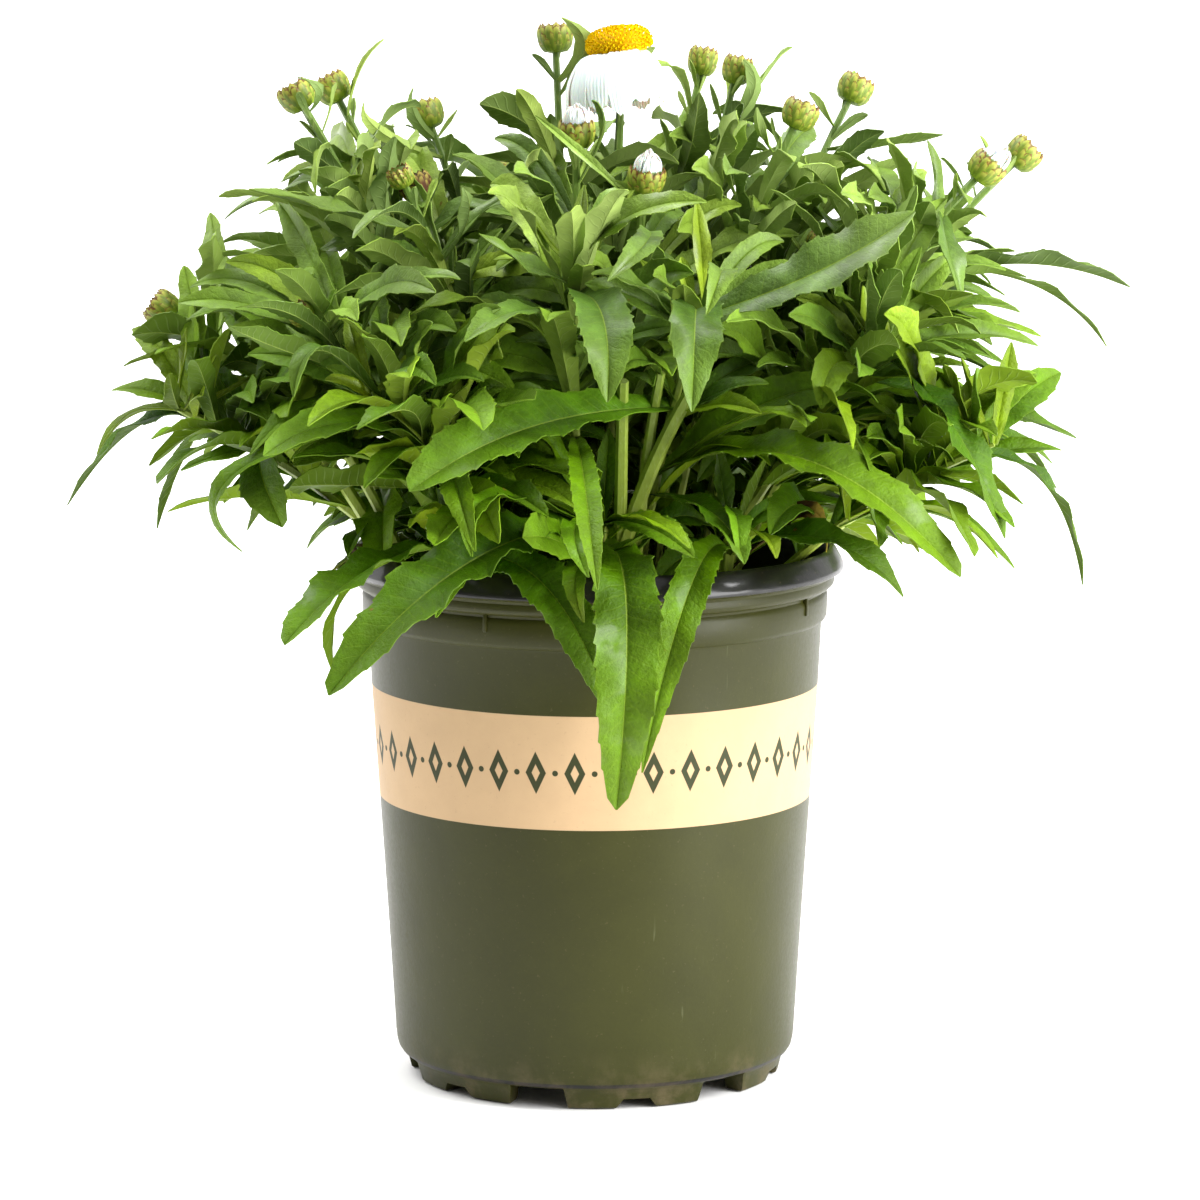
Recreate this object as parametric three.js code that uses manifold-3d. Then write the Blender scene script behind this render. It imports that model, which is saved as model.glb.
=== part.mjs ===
// A shasta daisy growing in a one gallon nursery pot, in millimetres, with +Z up.
// The origin is the middle of the pot's base, on the surface it stands on.
// +X is to the right and -Y is the front.
// The pot is one moulded shell with feet and drain slots. It is filled with potting mix, and every stem
// stands in a hole of its own there. Each leafy stem is one solid with its leaves grown on. Heads are
// separate solids on top.
import * as THREE from "three";
import { mergeVertices } from "three/addons/utils/BufferGeometryUtils.js";
import Module from "manifold-3d";

const wasm = await Module();
wasm.setup();

// Driving dimensions of the pot
const SEGMENTS = 36; // flat sides round the pot and the potting mix
const LIP_RADIUS = 82.5;
const POT_HEIGHT = 177;
const WALL = 1.4;
const FLOOR_UNDERSIDE = 6.4;
const FLOOR_TOP = 8;
const FOOT_RADIUS = 61.5;
const FOOT_INNER_RADIUS = 54;
const BODY_TOP = [75.3, 154];
const BODY_BOTTOM = [66.6, 14];
const FEET_PERIOD = 60; // degrees from one drain slot to the next
const SLOT_ANGLE = -17.5; // degrees from the front, turning towards +X
const SLOT = { bottomWidth: 20, topWidth: 18, height: 7 };
const ARCH_ANGLE = 12.8; // the shallow arch between two feet
const ARCH = { bottomWidth: 14, topWidth: 9, height: 3.2 };
const DRAIN_HOLE = { width: 12, from: 52, to: 60 };

// Driving dimensions of the potting mix and what stands in it
const GAP = 0.35; // clearance between two solids that touch on the real plant
const SOIL_EDGE = 156;
const SOIL_CROWN = 5; // how much higher the mix lies in the middle
const HOLE_DEPTH = 20;
const STEM_SIDES = 4;
const STEM_STEPS = 4;
const STEM_SINK = 16; // how deep a stem stands in the mix
const STEM_TAPER = 0.78; // thickness at a stem's head over that at its foot
const BEND_OUT = 0.36; // where a stem's bend lies on its way out
const BEND_UP = 0.6; // and on its way up

// Leaf rule
const GOLDEN_ANGLE = 137.508;
const FACE_OUT = 0.9; // how strongly the upper faces look outwards rather than up
const LOW_LEAF = 70; // length of a leaf at the bottom of a stem
const HIGH_LEAF = 38; // and at the top
const TUFT_LEAVES = 4; // short leaves round the tip of a shoot
const TUFT_LEAF = 27; // their length
const TUFT_TURN = 50; // degrees from one shoot's first tuft leaf to the next shoot's
const TUFT_SLOPE = 74;
const TUFT_STEP = 0.012; // share of the stem's length from one to the next
const TUFT_ARCH = 0.02;
const TUFT_SLIMNESS = 0.26;
const LEAF_FOLD = 17; // degrees that each half of a blade is raised from flat
const LEAF_THICKNESS = 1.3; // at the midrib; the edges are sharp
const LEAF_SLIMNESS = 0.25; // width over length of an ordinary leaf
const LEAF_ZONE = [0.14, 0.86]; // shares of a stem's length between which leaves grow
const SHOOT_ZONE_END = 0.9; // on a shoot they grow up to here
const BASAL_ZONE_START = 0.5; // and in a rosette at the bottom from here
const LEAF_SLOPE = [-16, 42]; // degrees that a leaf rises at the foot and at the top of its stem
const SLOPE_SPREAD = 40; // and how much that varies
const TWIST_SPREAD = 50;
const LEAF_ARCH = [0.22, 0.52]; // height of a leaf's arch over its length
const STEM_TURN = 77; // degrees from one stem's first leaf to the next stem's
const EARLY_SPREAD = 60; // degrees that the first tries turn a leaf, and how much later ones add
const LATER_SPREAD = 200;
const LAST_SPREAD = 260; // the last tries point outwards, within this spread
const ROOT_OUT = 0.3; // a leaf's line starts this far out from its stem's middle
const ROOT_SHARE = 0.2; // width of the leaf's foot over its greatest width
const WIDEST = 0.58; // share of the length where the leaf is widest
const TOOTH = 1; // how far a tooth stands out
const CELL = 2.5; // size of a cell of the space map
const CELL_SHIFT = 0.137; // keeps round numbers off the border between two cells
const SAMPLE = 1.8; // distance between the points at which a blade is tested
const ROOT_ZONE = 8; // leaves of one stem may meet over this much of their length from the root,
const PLACED_ROOT_ZONE = 16; // and placed leaves over this much
const HEAD_OWNER = 1000; // marks the cells of buds and flowers, where no leaf may grow
const TRIES = 40;
const STEM_CLAIMS = 60; // points of a stem that are marked as taken
const PLACED_SHIFT = 0.3; // each try moves a placed leaf within this much more
const MOUND = { width: 168, depth: 146, middle: 185, rise: 142, drop: 30 }; // where leaf tips may reach
const RANDOM_MULTIPLIER = 48271;
const RANDOM_MODULUS = 2147483647;

const COLOURS = {
  pot: { color: 0x4a5236, roughness: 0.42, metalness: 0 },
  mix: { color: 0x1f1712, roughness: 0.95, metalness: 0 },
  leaf: { color: 0x4f8a24, roughness: 0.5, metalness: 0 },
  bud: { color: 0x8fa644, roughness: 0.6, metalness: 0 },
  ray: { color: 0xf6f4ea, roughness: 0.6, metalness: 0 },
  disc: { color: 0xf2c500, roughness: 0.7, metalness: 0 },
  withered: { color: 0x5c3018, roughness: 0.9, metalness: 0 },
};
const MATERIALS = Object.fromEntries(
  Object.entries(COLOURS).map(([name, look]) => [name, new THREE.MeshStandardMaterial(look)]),
);

// Stems. root is where a stem leaves the mix and head where it ends. girth is its thickness, leaves how
// many leaves the leaf rule tries to grow on it, and top names what it carries.
const STEMS = [
  { name: "bloom_stem", root: [4, 8], head: [9, 20, 333], girth: 3.4, leaves: 6, top: "bloom" },
  { name: "leafy_stem_01", root: [-8, 17], head: [-13, 35, 337], girth: 3, leaves: 7, top: "bud" },
  { name: "leafy_stem_02", root: [-6, -4], head: [-6, -10, 308], girth: 3.2, leaves: 5, top: "white_bud" },
  { name: "leafy_stem_03", root: [6, -15], head: [16, -35, 295], girth: 3.4, leaves: 6, top: "white_bud" },
  { name: "leafy_stem_04", root: [12, 23], head: [35, 44, 329], girth: 2.8, leaves: 6, top: "slim_bud" },
  { name: "leafy_stem_05", root: [20, 11], head: [46, 27, 327], girth: 3, leaves: 6, top: "slim_bud" },
  { name: "leafy_stem_06", root: [22, -3], head: [65, 0, 314], girth: 3.2, leaves: 6, top: "bud" },
  { name: "leafy_stem_07", root: [32, 20], head: [85, 45, 320], girth: 3, leaves: 7, top: "bud" },
  { name: "leafy_stem_08", root: [40, -8], head: [124, -10, 298], girth: 3.4, leaves: 6, top: "white_bud" },
  { name: "leafy_stem_09", root: [44, 8], head: [138, 16, 301], girth: 3.2, leaves: 6, top: "bud" },
  { name: "leafy_stem_10", root: [-34, -3], head: [-95, 3, 320], girth: 3.4, leaves: 7, top: "bud" },
  { name: "leafy_stem_11", root: [-30, 14], head: [-85, 31, 321], girth: 3.2, leaves: 7, top: "bud" },
  { name: "leafy_stem_12", root: [-18, 26], head: [-55, 50, 311], girth: 3, leaves: 7, top: "bud" },
  { name: "leafy_stem_13", root: [-46, 1], head: [-138, 0, 252], girth: 3.2, leaves: 7, top: "bud" },
  { name: "leafy_stem_14", root: [-21, -12], head: [-61, -30, 297], girth: 3, leaves: 6, top: "small_bud" },
  { name: "leafy_stem_15", root: [-5, -29], head: [-8, -60, 276], girth: 3.2, leaves: 8, top: "shoot" },
  { name: "leafy_stem_16", root: [13, -31], head: [35, -66, 262], girth: 3.2, leaves: 8, top: "shoot" },
  { name: "leafy_stem_17", root: [-33, -20], head: [-91, -55, 256], girth: 3.2, leaves: 7, top: "small_bud" },
  { name: "leafy_stem_18", root: [-22, -34], head: [-70, -80, 236], girth: 3.2, leaves: 8, top: "shoot" },
  { name: "leafy_stem_19", root: [34, -23], head: [95, -42, 246], girth: 3.4, leaves: 6, top: "shoot" },
  { name: "leafy_stem_20", root: [33, 6], head: [72, 12, 272], girth: 2.8, leaves: 5, top: "small_bud" },
  { name: "leafy_stem_21", root: [45, 22], head: [108, 42, 272], girth: 2.8, leaves: 7, top: "small_bud" },
  { name: "leafy_stem_22", root: [-49, -14], head: [-136, -34, 226], girth: 4, leaves: 7, top: "shoot" },
  { name: "leafy_stem_23", root: [50, -20], head: [128, -52, 216], girth: 3.4, leaves: 8, top: "shoot" },
  { name: "leafy_stem_24", root: [-10, 42], head: [-28, 98, 288], girth: 3.2, leaves: 9, top: "bud" },
  { name: "leafy_stem_25", root: [16, 40], head: [46, 104, 280], girth: 3.2, leaves: 9, top: "shoot" },
  { name: "leafy_stem_26", root: [-36, 34], head: [-98, 80, 266], girth: 3.2, leaves: 9, top: "shoot" },
  { name: "leafy_stem_27", root: [40, 38], head: [102, 88, 262], girth: 3.2, leaves: 9, top: "bud" },
  { name: "leafy_stem_28", root: [2, 54], head: [6, 118, 238], girth: 3.4, leaves: 9, top: "shoot" },
  { name: "leafy_stem_29", root: [-22, 5], head: [-57, 8, 290], girth: 2.6, leaves: 4, top: "withered_head" },
  { name: "basal_leaves_01", root: [2, -46], head: [2, -50, 190], girth: 6, leaves: 3, top: "shoot" },
  { name: "basal_leaves_02", root: [-41, -43], head: [-47, -54, 184], girth: 6, leaves: 3, top: "shoot" },
  { name: "basal_leaves_03", root: [42, -44], head: [44, -47, 186], girth: 6, leaves: 4, top: "shoot" },
];

// Leaves placed one by one, as the photograph shows them. at is the share of the stem's length where the leaf
// grows, bend the point that its line is pulled towards and tip where it ends.
const PLACED_LEAVES = [
  { stem: "basal_leaves_02", at: 0.95, bend: [-72, -100, 190], tip: [-96, -120, 162], width: 17 },
  { stem: "basal_leaves_01", at: 0.9, bend: [-44, -110, 206], tip: [-85, -118, 146], width: 23 },
  { stem: "basal_leaves_02", at: 0.72, bend: [-16, -112, 196], tip: [2, -124, 138], width: 16 },
  { stem: "basal_leaves_01", at: 0.7, bend: [8, -118, 204], tip: [2, -99, 109], width: 21 },
  { stem: "basal_leaves_03", at: 0.8, bend: [28, -112, 206], tip: [15, -95, 117], width: 13 },
  { stem: "leafy_stem_16", at: 0.62, bend: [-20, -104, 232], tip: [-57, -120, 210], width: 23 },
  { stem: "leafy_stem_16", at: 0.4, bend: [66, -104, 238], tip: [115, -92, 179], width: 21 },
  { stem: "basal_leaves_03", at: 0.8, bend: [76, -78, 200], tip: [99, -60, 168], width: 14 },
  { stem: "leafy_stem_19", at: 0.97, bend: [116, -84, 232], tip: [130, -76, 189], width: 14 },
  { stem: "leafy_stem_23", at: 0.94, bend: [152, -38, 212], tip: [160, -20, 166], width: 9 },
  { stem: "leafy_stem_16", at: 0.96, bend: [76, -80, 276], tip: [101, -68, 292], width: 20 },
  { stem: "leafy_stem_09", at: 0.68, bend: [142, -4, 278], tip: [176, 0, 262], width: 17 },
  { stem: "leafy_stem_21", at: 0.9, bend: [150, 32, 272], tip: [172, 34, 239], width: 7 },
  { stem: "leafy_stem_19", at: 1, bend: [121, -36, 256], tip: [144, -24, 245], width: 10 },
  { stem: "leafy_stem_22", at: 0.9, bend: [-148, -24, 232], tip: [-174, -6, 191], width: 11 },
  { stem: "leafy_stem_22", at: 0.97, bend: [-150, -30, 230], tip: [-160, -34, 211], width: 9 },
  { stem: "leafy_stem_13", at: 0.78, bend: [-137, 26, 214], tip: [-148, 36, 177], width: 10 },
  { stem: "leafy_stem_18", at: 0.86, bend: [-140, -98, 214], tip: [-112, -72, 184], width: 10 },
  { stem: "leafy_stem_14", at: 0.88, bend: [-62, -64, 300], tip: [-76, -74, 284], width: 9 },
  { stem: "leafy_stem_17", at: 0.88, bend: [-96, -86, 270], tip: [-113, -90, 266], width: 9 },
  { stem: "leafy_stem_17", at: 0.78, bend: [-92, -80, 258], tip: [-109, -84, 262], width: 13 },
  { stem: "leafy_stem_13", at: 0.86, bend: [-136, -16, 252], tip: [-151, -18, 248], width: 16, twist: 20 },
  { stem: "leafy_stem_18", at: 0.96, bend: [-90, -108, 268], tip: [-93, -112, 238], width: 9 },
  { stem: "leafy_stem_18", at: 0.92, bend: [-58, -112, 258], tip: [-49, -114, 242], width: 10 },
  { stem: "leafy_stem_18", at: 0.74, bend: [-53, -108, 242], tip: [-73, -120, 229], width: 12 },
  { stem: "leafy_stem_15", at: 0.44, bend: [-4, -126, 232], tip: [1, -150, 189], width: 9 },
  { stem: "leafy_stem_18", at: 0.5, bend: [-44, -100, 222], tip: [-36, -112, 187], width: 10 },
  { stem: "basal_leaves_01", at: 0.97, bend: [16, -92, 202], tip: [31, -104, 187], width: 13 },
  { stem: "leafy_stem_16", at: 0.33, bend: [42, -92, 204], tip: [47, -98, 184], width: 12 },
  { stem: "leafy_stem_19", at: 0.5, bend: [60, -92, 232], tip: [66, -100, 226], width: 10 },
  { stem: "leafy_stem_22", at: 0.74, bend: [-108, -60, 212], tip: [-100, -58, 190], width: 16 },
  { stem: "leafy_stem_17", at: 0.36, bend: [-80, -66, 206], tip: [-96, -76, 206], width: 17, twist: 40 },
  { stem: "leafy_stem_15", at: 0.78, bend: [-22, -104, 270], tip: [-40, -110, 255], width: 11 },
  { stem: "leafy_stem_15", at: 0.88, bend: [6, -112, 274], tip: [4, -118, 237], width: 17 },
  { stem: "leafy_stem_16", at: 0.9, bend: [34, -112, 280], tip: [30, -118, 234], width: 17 },
  { stem: "leafy_stem_15", at: 0.95, bend: [8, -76, 300], tip: [35, -82, 296], width: 10 },
  { stem: "leafy_stem_14", at: 0.78, bend: [-36, -62, 290], tip: [-42, -62, 299], width: 9 },
  { stem: "leafy_stem_15", at: 0.92, bend: [-22, -84, 276], tip: [-36, -82, 286], width: 9 },
  { stem: "leafy_stem_03", at: 0.88, bend: [24, -88, 292], tip: [4, -98, 273], width: 9 },
  { stem: "leafy_stem_16", at: 0.98, bend: [46, -88, 290], tip: [36, -98, 263], width: 9 },
  { stem: "leafy_stem_04", at: 0.76, bend: [30, 6, 306], tip: [31, -2, 327], width: 11 },
  { stem: "leafy_stem_01", at: 0.78, bend: [-22, 16, 316], tip: [-36, 16, 319], width: 13 },
  { stem: "leafy_stem_07", at: 0.88, bend: [98, 34, 306], tip: [116, 32, 310], width: 7 },
  { stem: "leafy_stem_08", at: 0.86, bend: [118, -8, 294], tip: [112, -4, 310], width: 9 },
  { stem: "leafy_stem_08", at: 0.9, bend: [112, -36, 282], tip: [118, -38, 262], width: 11 },
  { stem: "leafy_stem_19", at: 0.9, bend: [74, -62, 250], tip: [72, -66, 229], width: 12 },
  { stem: "leafy_stem_19", at: 0.86, bend: [126, -30, 228], tip: [157, -24, 215], width: 11 },
  { stem: "leafy_stem_23", at: 0.75, bend: [130, -14, 226], tip: [151, -2, 204], width: 10 },
  { stem: "leafy_stem_09", at: 0.5, bend: [134, 26, 222], tip: [155, 26, 192], width: 10 },
  { stem: "leafy_stem_10", at: 0.84, bend: [-92, -4, 308], tip: [-98, -8, 310], width: 9 },
  { stem: "leafy_stem_14", at: 0.86, bend: [-74, -46, 292], tip: [-108, -44, 300], width: 11 },
  { stem: "leafy_stem_28", at: 0.9, bend: [10, 152, 246], tip: [4, 158, 190], width: 14 },
];

// Plain vector sums on [x, y, z]
const add = (a, b, share = 1) => a.map((x, i) => x + b[i] * share);
const cross = (a, b) => [a[1] * b[2] - a[2] * b[1], a[2] * b[0] - a[0] * b[2], a[0] * b[1] - a[1] * b[0]];
const dot = (a, b) => a[0] * b[0] + a[1] * b[1] + a[2] * b[2];
const length = (a) => Math.hypot(...a);
const unit = (a) => a.map((x) => x / length(a));
const radians = (degrees) => (degrees * Math.PI) / 180;
const mix = (a, b, share) => a + (b - a) * share;

// A point and the direction of travel on the curve from a to c that is pulled towards b.
function onBend(a, b, c, s) {
  const point = a.map((x, i) => (1 - s) * (1 - s) * x + 2 * s * (1 - s) * b[i] + s * s * c[i]);
  const along = unit(a.map((x, i) => (1 - s) * (b[i] - x) + s * (c[i] - b[i])));
  return { point, along };
}

function soilHeight(x, y) {
  const share = Math.hypot(x, y) / BODY_TOP[0];
  return SOIL_EDGE + SOIL_CROWN * (1 - share * share);
}

// A stem first rises steeply and then leans out: its bend lies higher up its way than outwards.
function stemBend(stem) {
  const [x, y] = stem.root;
  const foot = [x, y, soilHeight(x, y)];
  const [hx, hy, hz] = stem.head;
  const bend = [mix(x, hx, BEND_OUT), mix(y, hy, BEND_OUT), mix(foot[2], hz, BEND_UP)];
  return { foot, bend, head: stem.head };
}

function onStem(stem, share) {
  const { foot, bend, head } = stemBend(stem);
  return onBend(foot, bend, head, share);
}

// Half the width of a blade at share s of its length.
function halfWidth(leaf, s) {
  const grown = ROOT_SHARE + (1 - ROOT_SHARE) * Math.sin((Math.min(s / WIDEST, 1) * Math.PI) / 2);
  const past = Math.max(0, (s - WIDEST) / (1 - WIDEST));
  return (leaf.width / 2) * grown * Math.pow(Math.max(0, Math.cos((past * Math.PI) / 2)), 0.7);
}

// The level direction across a leaf and the upright one, where its line runs along.
function levelFrame(leaf, along) {
  const heading = Math.atan2(leaf.tip[1] - leaf.root[1], leaf.tip[0] - leaf.root[0]);
  const level = [-Math.sin(heading), Math.cos(heading), 0];
  return { level, upright: cross(along, level) };
}

// Degrees that a leaf rolls about its line so that its upper face looks outwards from the plant.
function outwardRoll(leaf) {
  const { point, along } = onBend(leaf.root, leaf.bend, leaf.tip, 0.5);
  const { level, upright } = levelFrame(leaf, along);
  const r = Math.hypot(point[0], point[1]);
  const facing = unit([(FACE_OUT * point[0]) / r, (FACE_OUT * point[1]) / r, 1]);
  const roll = Math.atan2(-dot(facing, level), Math.max(0.3, dot(facing, upright)));
  return (roll * 180) / Math.PI;
}

// A point of a blade's middle surface: s runs from root to tip and across from -1 to 1. The blade is folded
// up along its midrib, rolled to face outwards and twisted as it goes.
function bladePoint(leaf, s, across, reach = halfWidth(leaf, s)) {
  const { point, along } = onBend(leaf.root, leaf.bend, leaf.tip, s);
  const { level, upright } = levelFrame(leaf, along);
  const turn = radians(leaf.roll + leaf.twist * s);
  const side = level.map((x, i) => x * Math.cos(turn) + upright[i] * Math.sin(turn));
  const up = upright.map((x, i) => x * Math.cos(turn) - level[i] * Math.sin(turn));
  const fold = radians(LEAF_FOLD);
  const out = add(point, side, across * reach * Math.cos(fold));
  return { point: add(out, up, Math.abs(across) * reach * Math.sin(fold)), up };
}

// Repeatable draws between 0 and 1
function seededDraws(seed) {
  let state = (seed % (RANDOM_MODULUS - 1)) + 1;
  const draw = () => {
    state = (state * RANDOM_MULTIPLIER) % RANDOM_MODULUS;
    return state / RANDOM_MODULUS;
  };
  draw();
  draw();
  return draw;
}

// Which stem's growth fills each small cell of space. A cell near two stems belongs to nobody, marked -1.
const taken = new Map();
const cellOf = (x) => Math.floor((x + CELL_SHIFT) / CELL) + 512;

function claim(point, owner) {
  const [i, j, k] = point.map(cellOf);
  for (let a = -1; a <= 1; a++)
    for (let b = -1; b <= 1; b++)
      for (let c = -1; c <= 1; c++) {
        const key = ((i + a) * 1024 + (j + b)) * 1024 + (k + c);
        const before = taken.get(key);
        taken.set(key, before === undefined || before === owner ? owner : -1);
      }
}

function ownerAt(point) {
  const [i, j, k] = point.map(cellOf);
  return taken.get((i * 1024 + j) * 1024 + k);
}

function clearOfPot([x, y, z]) {
  const r = Math.hypot(x, y);
  if (r >= LIP_RADIUS + 3.5) return true;
  return z > (r < 73 ? soilHeight(x, y) + 4 : POT_HEIGHT + 3);
}

function insideMound([x, y, z]) {
  const out = Math.hypot(x / MOUND.width, y / MOUND.depth);
  const up = (z - MOUND.middle) / (z > MOUND.middle ? MOUND.rise : MOUND.drop);
  return Math.pow(out, 3) + up * up < 1;
}

function bladeSamples(leaf) {
  const span = length(add(leaf.tip, leaf.root, -1)) * 1.15;
  const rows = Math.ceil(span / SAMPLE);
  const columns = Math.ceil(leaf.width / 2 / SAMPLE);
  const zone = leaf.stem ? PLACED_ROOT_ZONE : ROOT_ZONE;
  const samples = [];
  for (let i = 0; i <= rows; i++)
    for (let j = -columns; j <= columns; j++) {
      const { point } = bladePoint(leaf, i / rows, j / columns);
      samples.push({ rooted: (i / rows) * span < zone, point });
    }
  return samples;
}

function fits(samples, owner) {
  return samples.every(({ rooted, point }) => {
    const holder = ownerAt(point);
    return (holder === undefined || (rooted && holder === owner)) && clearOfPot(point);
  });
}

// A leaf from a point of a stem: span long, out in the azimuth's direction, rising at the slope and arched.
function leafFrom(stem, share, azimuth, span, slope, arch, slimness, twist) {
  const { point, along } = onStem(stem, share);
  const out = [Math.cos(azimuth), Math.sin(azimuth), 0];
  const root = add(point, out, ROOT_OUT);
  const run = [out[0] * Math.cos(slope), out[1] * Math.cos(slope), Math.sin(slope)];
  const tip = add(add(root, run, span), along, span * 0.1);
  const half = root.map((x, k) => (x + tip[k]) / 2);
  const bend = add(half, [out[0] * 2, out[1] * 2, arch * span]);
  const leaf = { root, bend, tip, width: span * slimness, twist };
  return { ...leaf, roll: outwardRoll(leaf) };
}

// The leaf that the rule would grow at place i of a stem, counted down from its tip, on a given try. Later
// tries turn it further, more outwards, and make it shorter.
function ruledLeaf(stem, index, i, attempt, draw) {
  const lowest = stem.name.startsWith("basal") ? BASAL_ZONE_START : LEAF_ZONE[0];
  const highest = stem.top === "shoot" ? SHOOT_ZONE_END : LEAF_ZONE[1];
  const share = mix(highest, lowest, (i + 0.5) / stem.leaves) + (draw() - 0.5) * 0.05;
  const spiral = radians(index * STEM_TURN + i * GOLDEN_ANGLE);
  const { point } = onStem(stem, share);
  const outwards = Math.atan2(point[1], point[0]);
  const late = attempt / TRIES;
  const azimuth = late < 0.5
    ? spiral + radians((draw() - 0.5) * (EARLY_SPREAD + LATER_SPREAD * late))
    : outwards + radians((draw() - 0.5) * LAST_SPREAD);
  const span = mix(LOW_LEAF, HIGH_LEAF, share) * (0.85 + 0.3 * draw()) * (1 - 0.4 * late);
  const slope = radians(mix(...LEAF_SLOPE, share) + (draw() - 0.5) * SLOPE_SPREAD);
  const arch = LEAF_ARCH[0] + (LEAF_ARCH[1] - LEAF_ARCH[0]) * draw();
  const slimness = LEAF_SLIMNESS * (0.9 + 0.35 * draw());
  return leafFrom(stem, share, azimuth, span, slope, arch, slimness, (draw() - 0.5) * TWIST_SPREAD);
}

// A placed leaf. Where its way is barred, it shifts a little, most of all forwards or back.
function placedLeaf(stem, index, i, attempt, draw) {
  const placed = PLACED_LEAVES[i];
  const reach = attempt * PLACED_SHIFT;
  const shift = [(draw() - 0.5) * reach, (draw() - 0.5) * reach * 3, (draw() - 0.5) * reach];
  const leaf = {
    ...placed,
    twist: placed.twist ?? 0,
    root: onStem(stem, placed.at).point,
    bend: add(placed.bend, shift, 1.5),
    tip: add(placed.tip, shift),
  };
  return { ...leaf, roll: outwardRoll(leaf) };
}

// One of the short, steep leaves round the tip of a shoot. Each stands a little lower and flatter than the
// last.
function tuftLeaf(stem, index, i, attempt, draw) {
  const azimuth = radians(index * TUFT_TURN + i * GOLDEN_ANGLE + (draw() - 0.5) * (30 + attempt * 6));
  const span = TUFT_LEAF * (0.8 + 0.4 * draw());
  const slope = radians(TUFT_SLOPE - i * 7 - attempt + (draw() - 0.5) * 10);
  const share = 1 - TUFT_STEP * i;
  return leafFrom(stem, share, azimuth, span, slope, TUFT_ARCH, TUFT_SLIMNESS, (draw() - 0.5) * 30);
}

// Every leaf of the plant: the placed ones first, then the ruled ones, each where nothing else grows.
function layOutLeaves() {
  STEMS.forEach((stem, owner) => {
    for (let i = 0; i <= STEM_CLAIMS; i++) claim(onStem(stem, i / STEM_CLAIMS).point, owner);
    if (stem.top === "shoot") return;
    headSamples(stem).forEach((point) => claim(point, HEAD_OWNER));
  });
  const leaves = [];
  const grow = (leaf, owner) => {
    bladeSamples(leaf).forEach(({ point }) => claim(point, owner));
    leaves.push({ ...leaf, owner });
  };
  const tryToGrow = (rule, owner, i, seed) => {
    const draw = seededDraws(seed);
    for (let attempt = 0; attempt < TRIES; attempt++) {
      const leaf = rule(STEMS[owner], owner, i, attempt, draw);
      if (!leaf.stem && !insideMound(leaf.tip)) continue;
      if (fits(bladeSamples(leaf), owner)) return grow(leaf, owner);
    }
  };
  PLACED_LEAVES.forEach((placed, i) => {
    const owner = STEMS.findIndex((stem) => stem.name === placed.stem);
    tryToGrow(placedLeaf, owner, i, 300 + i);
  });
  STEMS.forEach((stem, owner) => {
    if (stem.top !== "shoot") return;
    for (let i = 0; i < TUFT_LEAVES; i++) tryToGrow(tuftLeaf, owner, i, 500 + 40 * owner + i);
  });
  const most = Math.max(...STEMS.map((stem) => stem.leaves));
  for (let i = 0; i < most; i++)
    STEMS.forEach((stem, owner) => {
      if (i < stem.leaves) tryToGrow(ruledLeaf, owner, i, 5000 + 100 * owner + i);
    });
  return leaves;
}

// Heads: their radius and height, and how far a tuft of folded rays stands out of them
const HEADS = {
  bud: { radius: 6.2, height: 8.6, tuft: 0 },
  white_bud: { radius: 6.4, height: 9, tuft: 6 },
  slim_bud: { radius: 5, height: 8.4, tuft: 0 },
  small_bud: { radius: 4.2, height: 6, tuft: 0 },
  withered_head: { radius: 5.4, height: 8, tuft: 0 },
  bloom: { radius: 10.6, height: 7, tuft: 0 },
};
const BUD_SEGMENTS = 6;
const BUD_OUTLINE = [[0.34, 0], [0.85, 0.2], [1, 0.6], [0.8, 1]]; // shares of the radius and of the height
const SCALE_RIDGE = [0.9, 1.06]; // radius between two scales and on a scale, over the plain one
const TUFT_OUTLINE = [[0.6, 0], [0.66, 0.45], [0.3, 1]];
const BLOOM_TILT = [-0.06, -0.13]; // radians about X and Y
const RAYS = 15;
const RAY_SPREAD = 18; // how far a ray's tip lies from the flower's axis
const RAY_DROOP = 14; // and how far it hangs below the head
const SIDE_SPREAD = 3.5; // rays on the left reach this much further out
const SIDE_DROOP = 2; // and hang this much lower than the middle ones
const RAY_THICKNESS = 0.35;
const RAY_COLLAR = [[5, 4.1], [10, 4.1], [9, 6], [5, 6]]; // radius and height
const CUP_OUTLINE = [[1.4, -2.5], [4, 0], [7.6, 2.2], [8.4, 3.6]];
const DISC_OUTLINE = [[8.6, 6.4], [10.6, 7.2], [10.8, 9.4], [9.6, 11.6], [6.8, 12.9], [3, 13.4]];
const DISC_SIDES = 22;
const CLAIM_STEP = 2.5; // distance between the points that mark a head's room as taken
const BLOOM_ROOM = 26; // radius of the room kept for the open flower
const BLOOM_ROOM_BELOW = -16;

function headSamples(stem) {
  const { radius } = HEADS[stem.top];
  const spread = stem.top === "bloom" ? BLOOM_ROOM : radius + 2;
  const lowest = stem.top === "bloom" ? BLOOM_ROOM_BELOW : 0;
  const samples = [];
  for (let i = 0; i < 12; i++)
    for (let ring = 0; ring <= spread; ring += CLAIM_STEP)
      for (let z = lowest; z < radius * 2 + 6; z += CLAIM_STEP)
        samples.push([
          stem.head[0] + ring * Math.cos((i * Math.PI) / 6),
          stem.head[1] + ring * Math.sin((i * Math.PI) / 6),
          stem.head[2] + z,
        ]);
  return samples;
}

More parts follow.
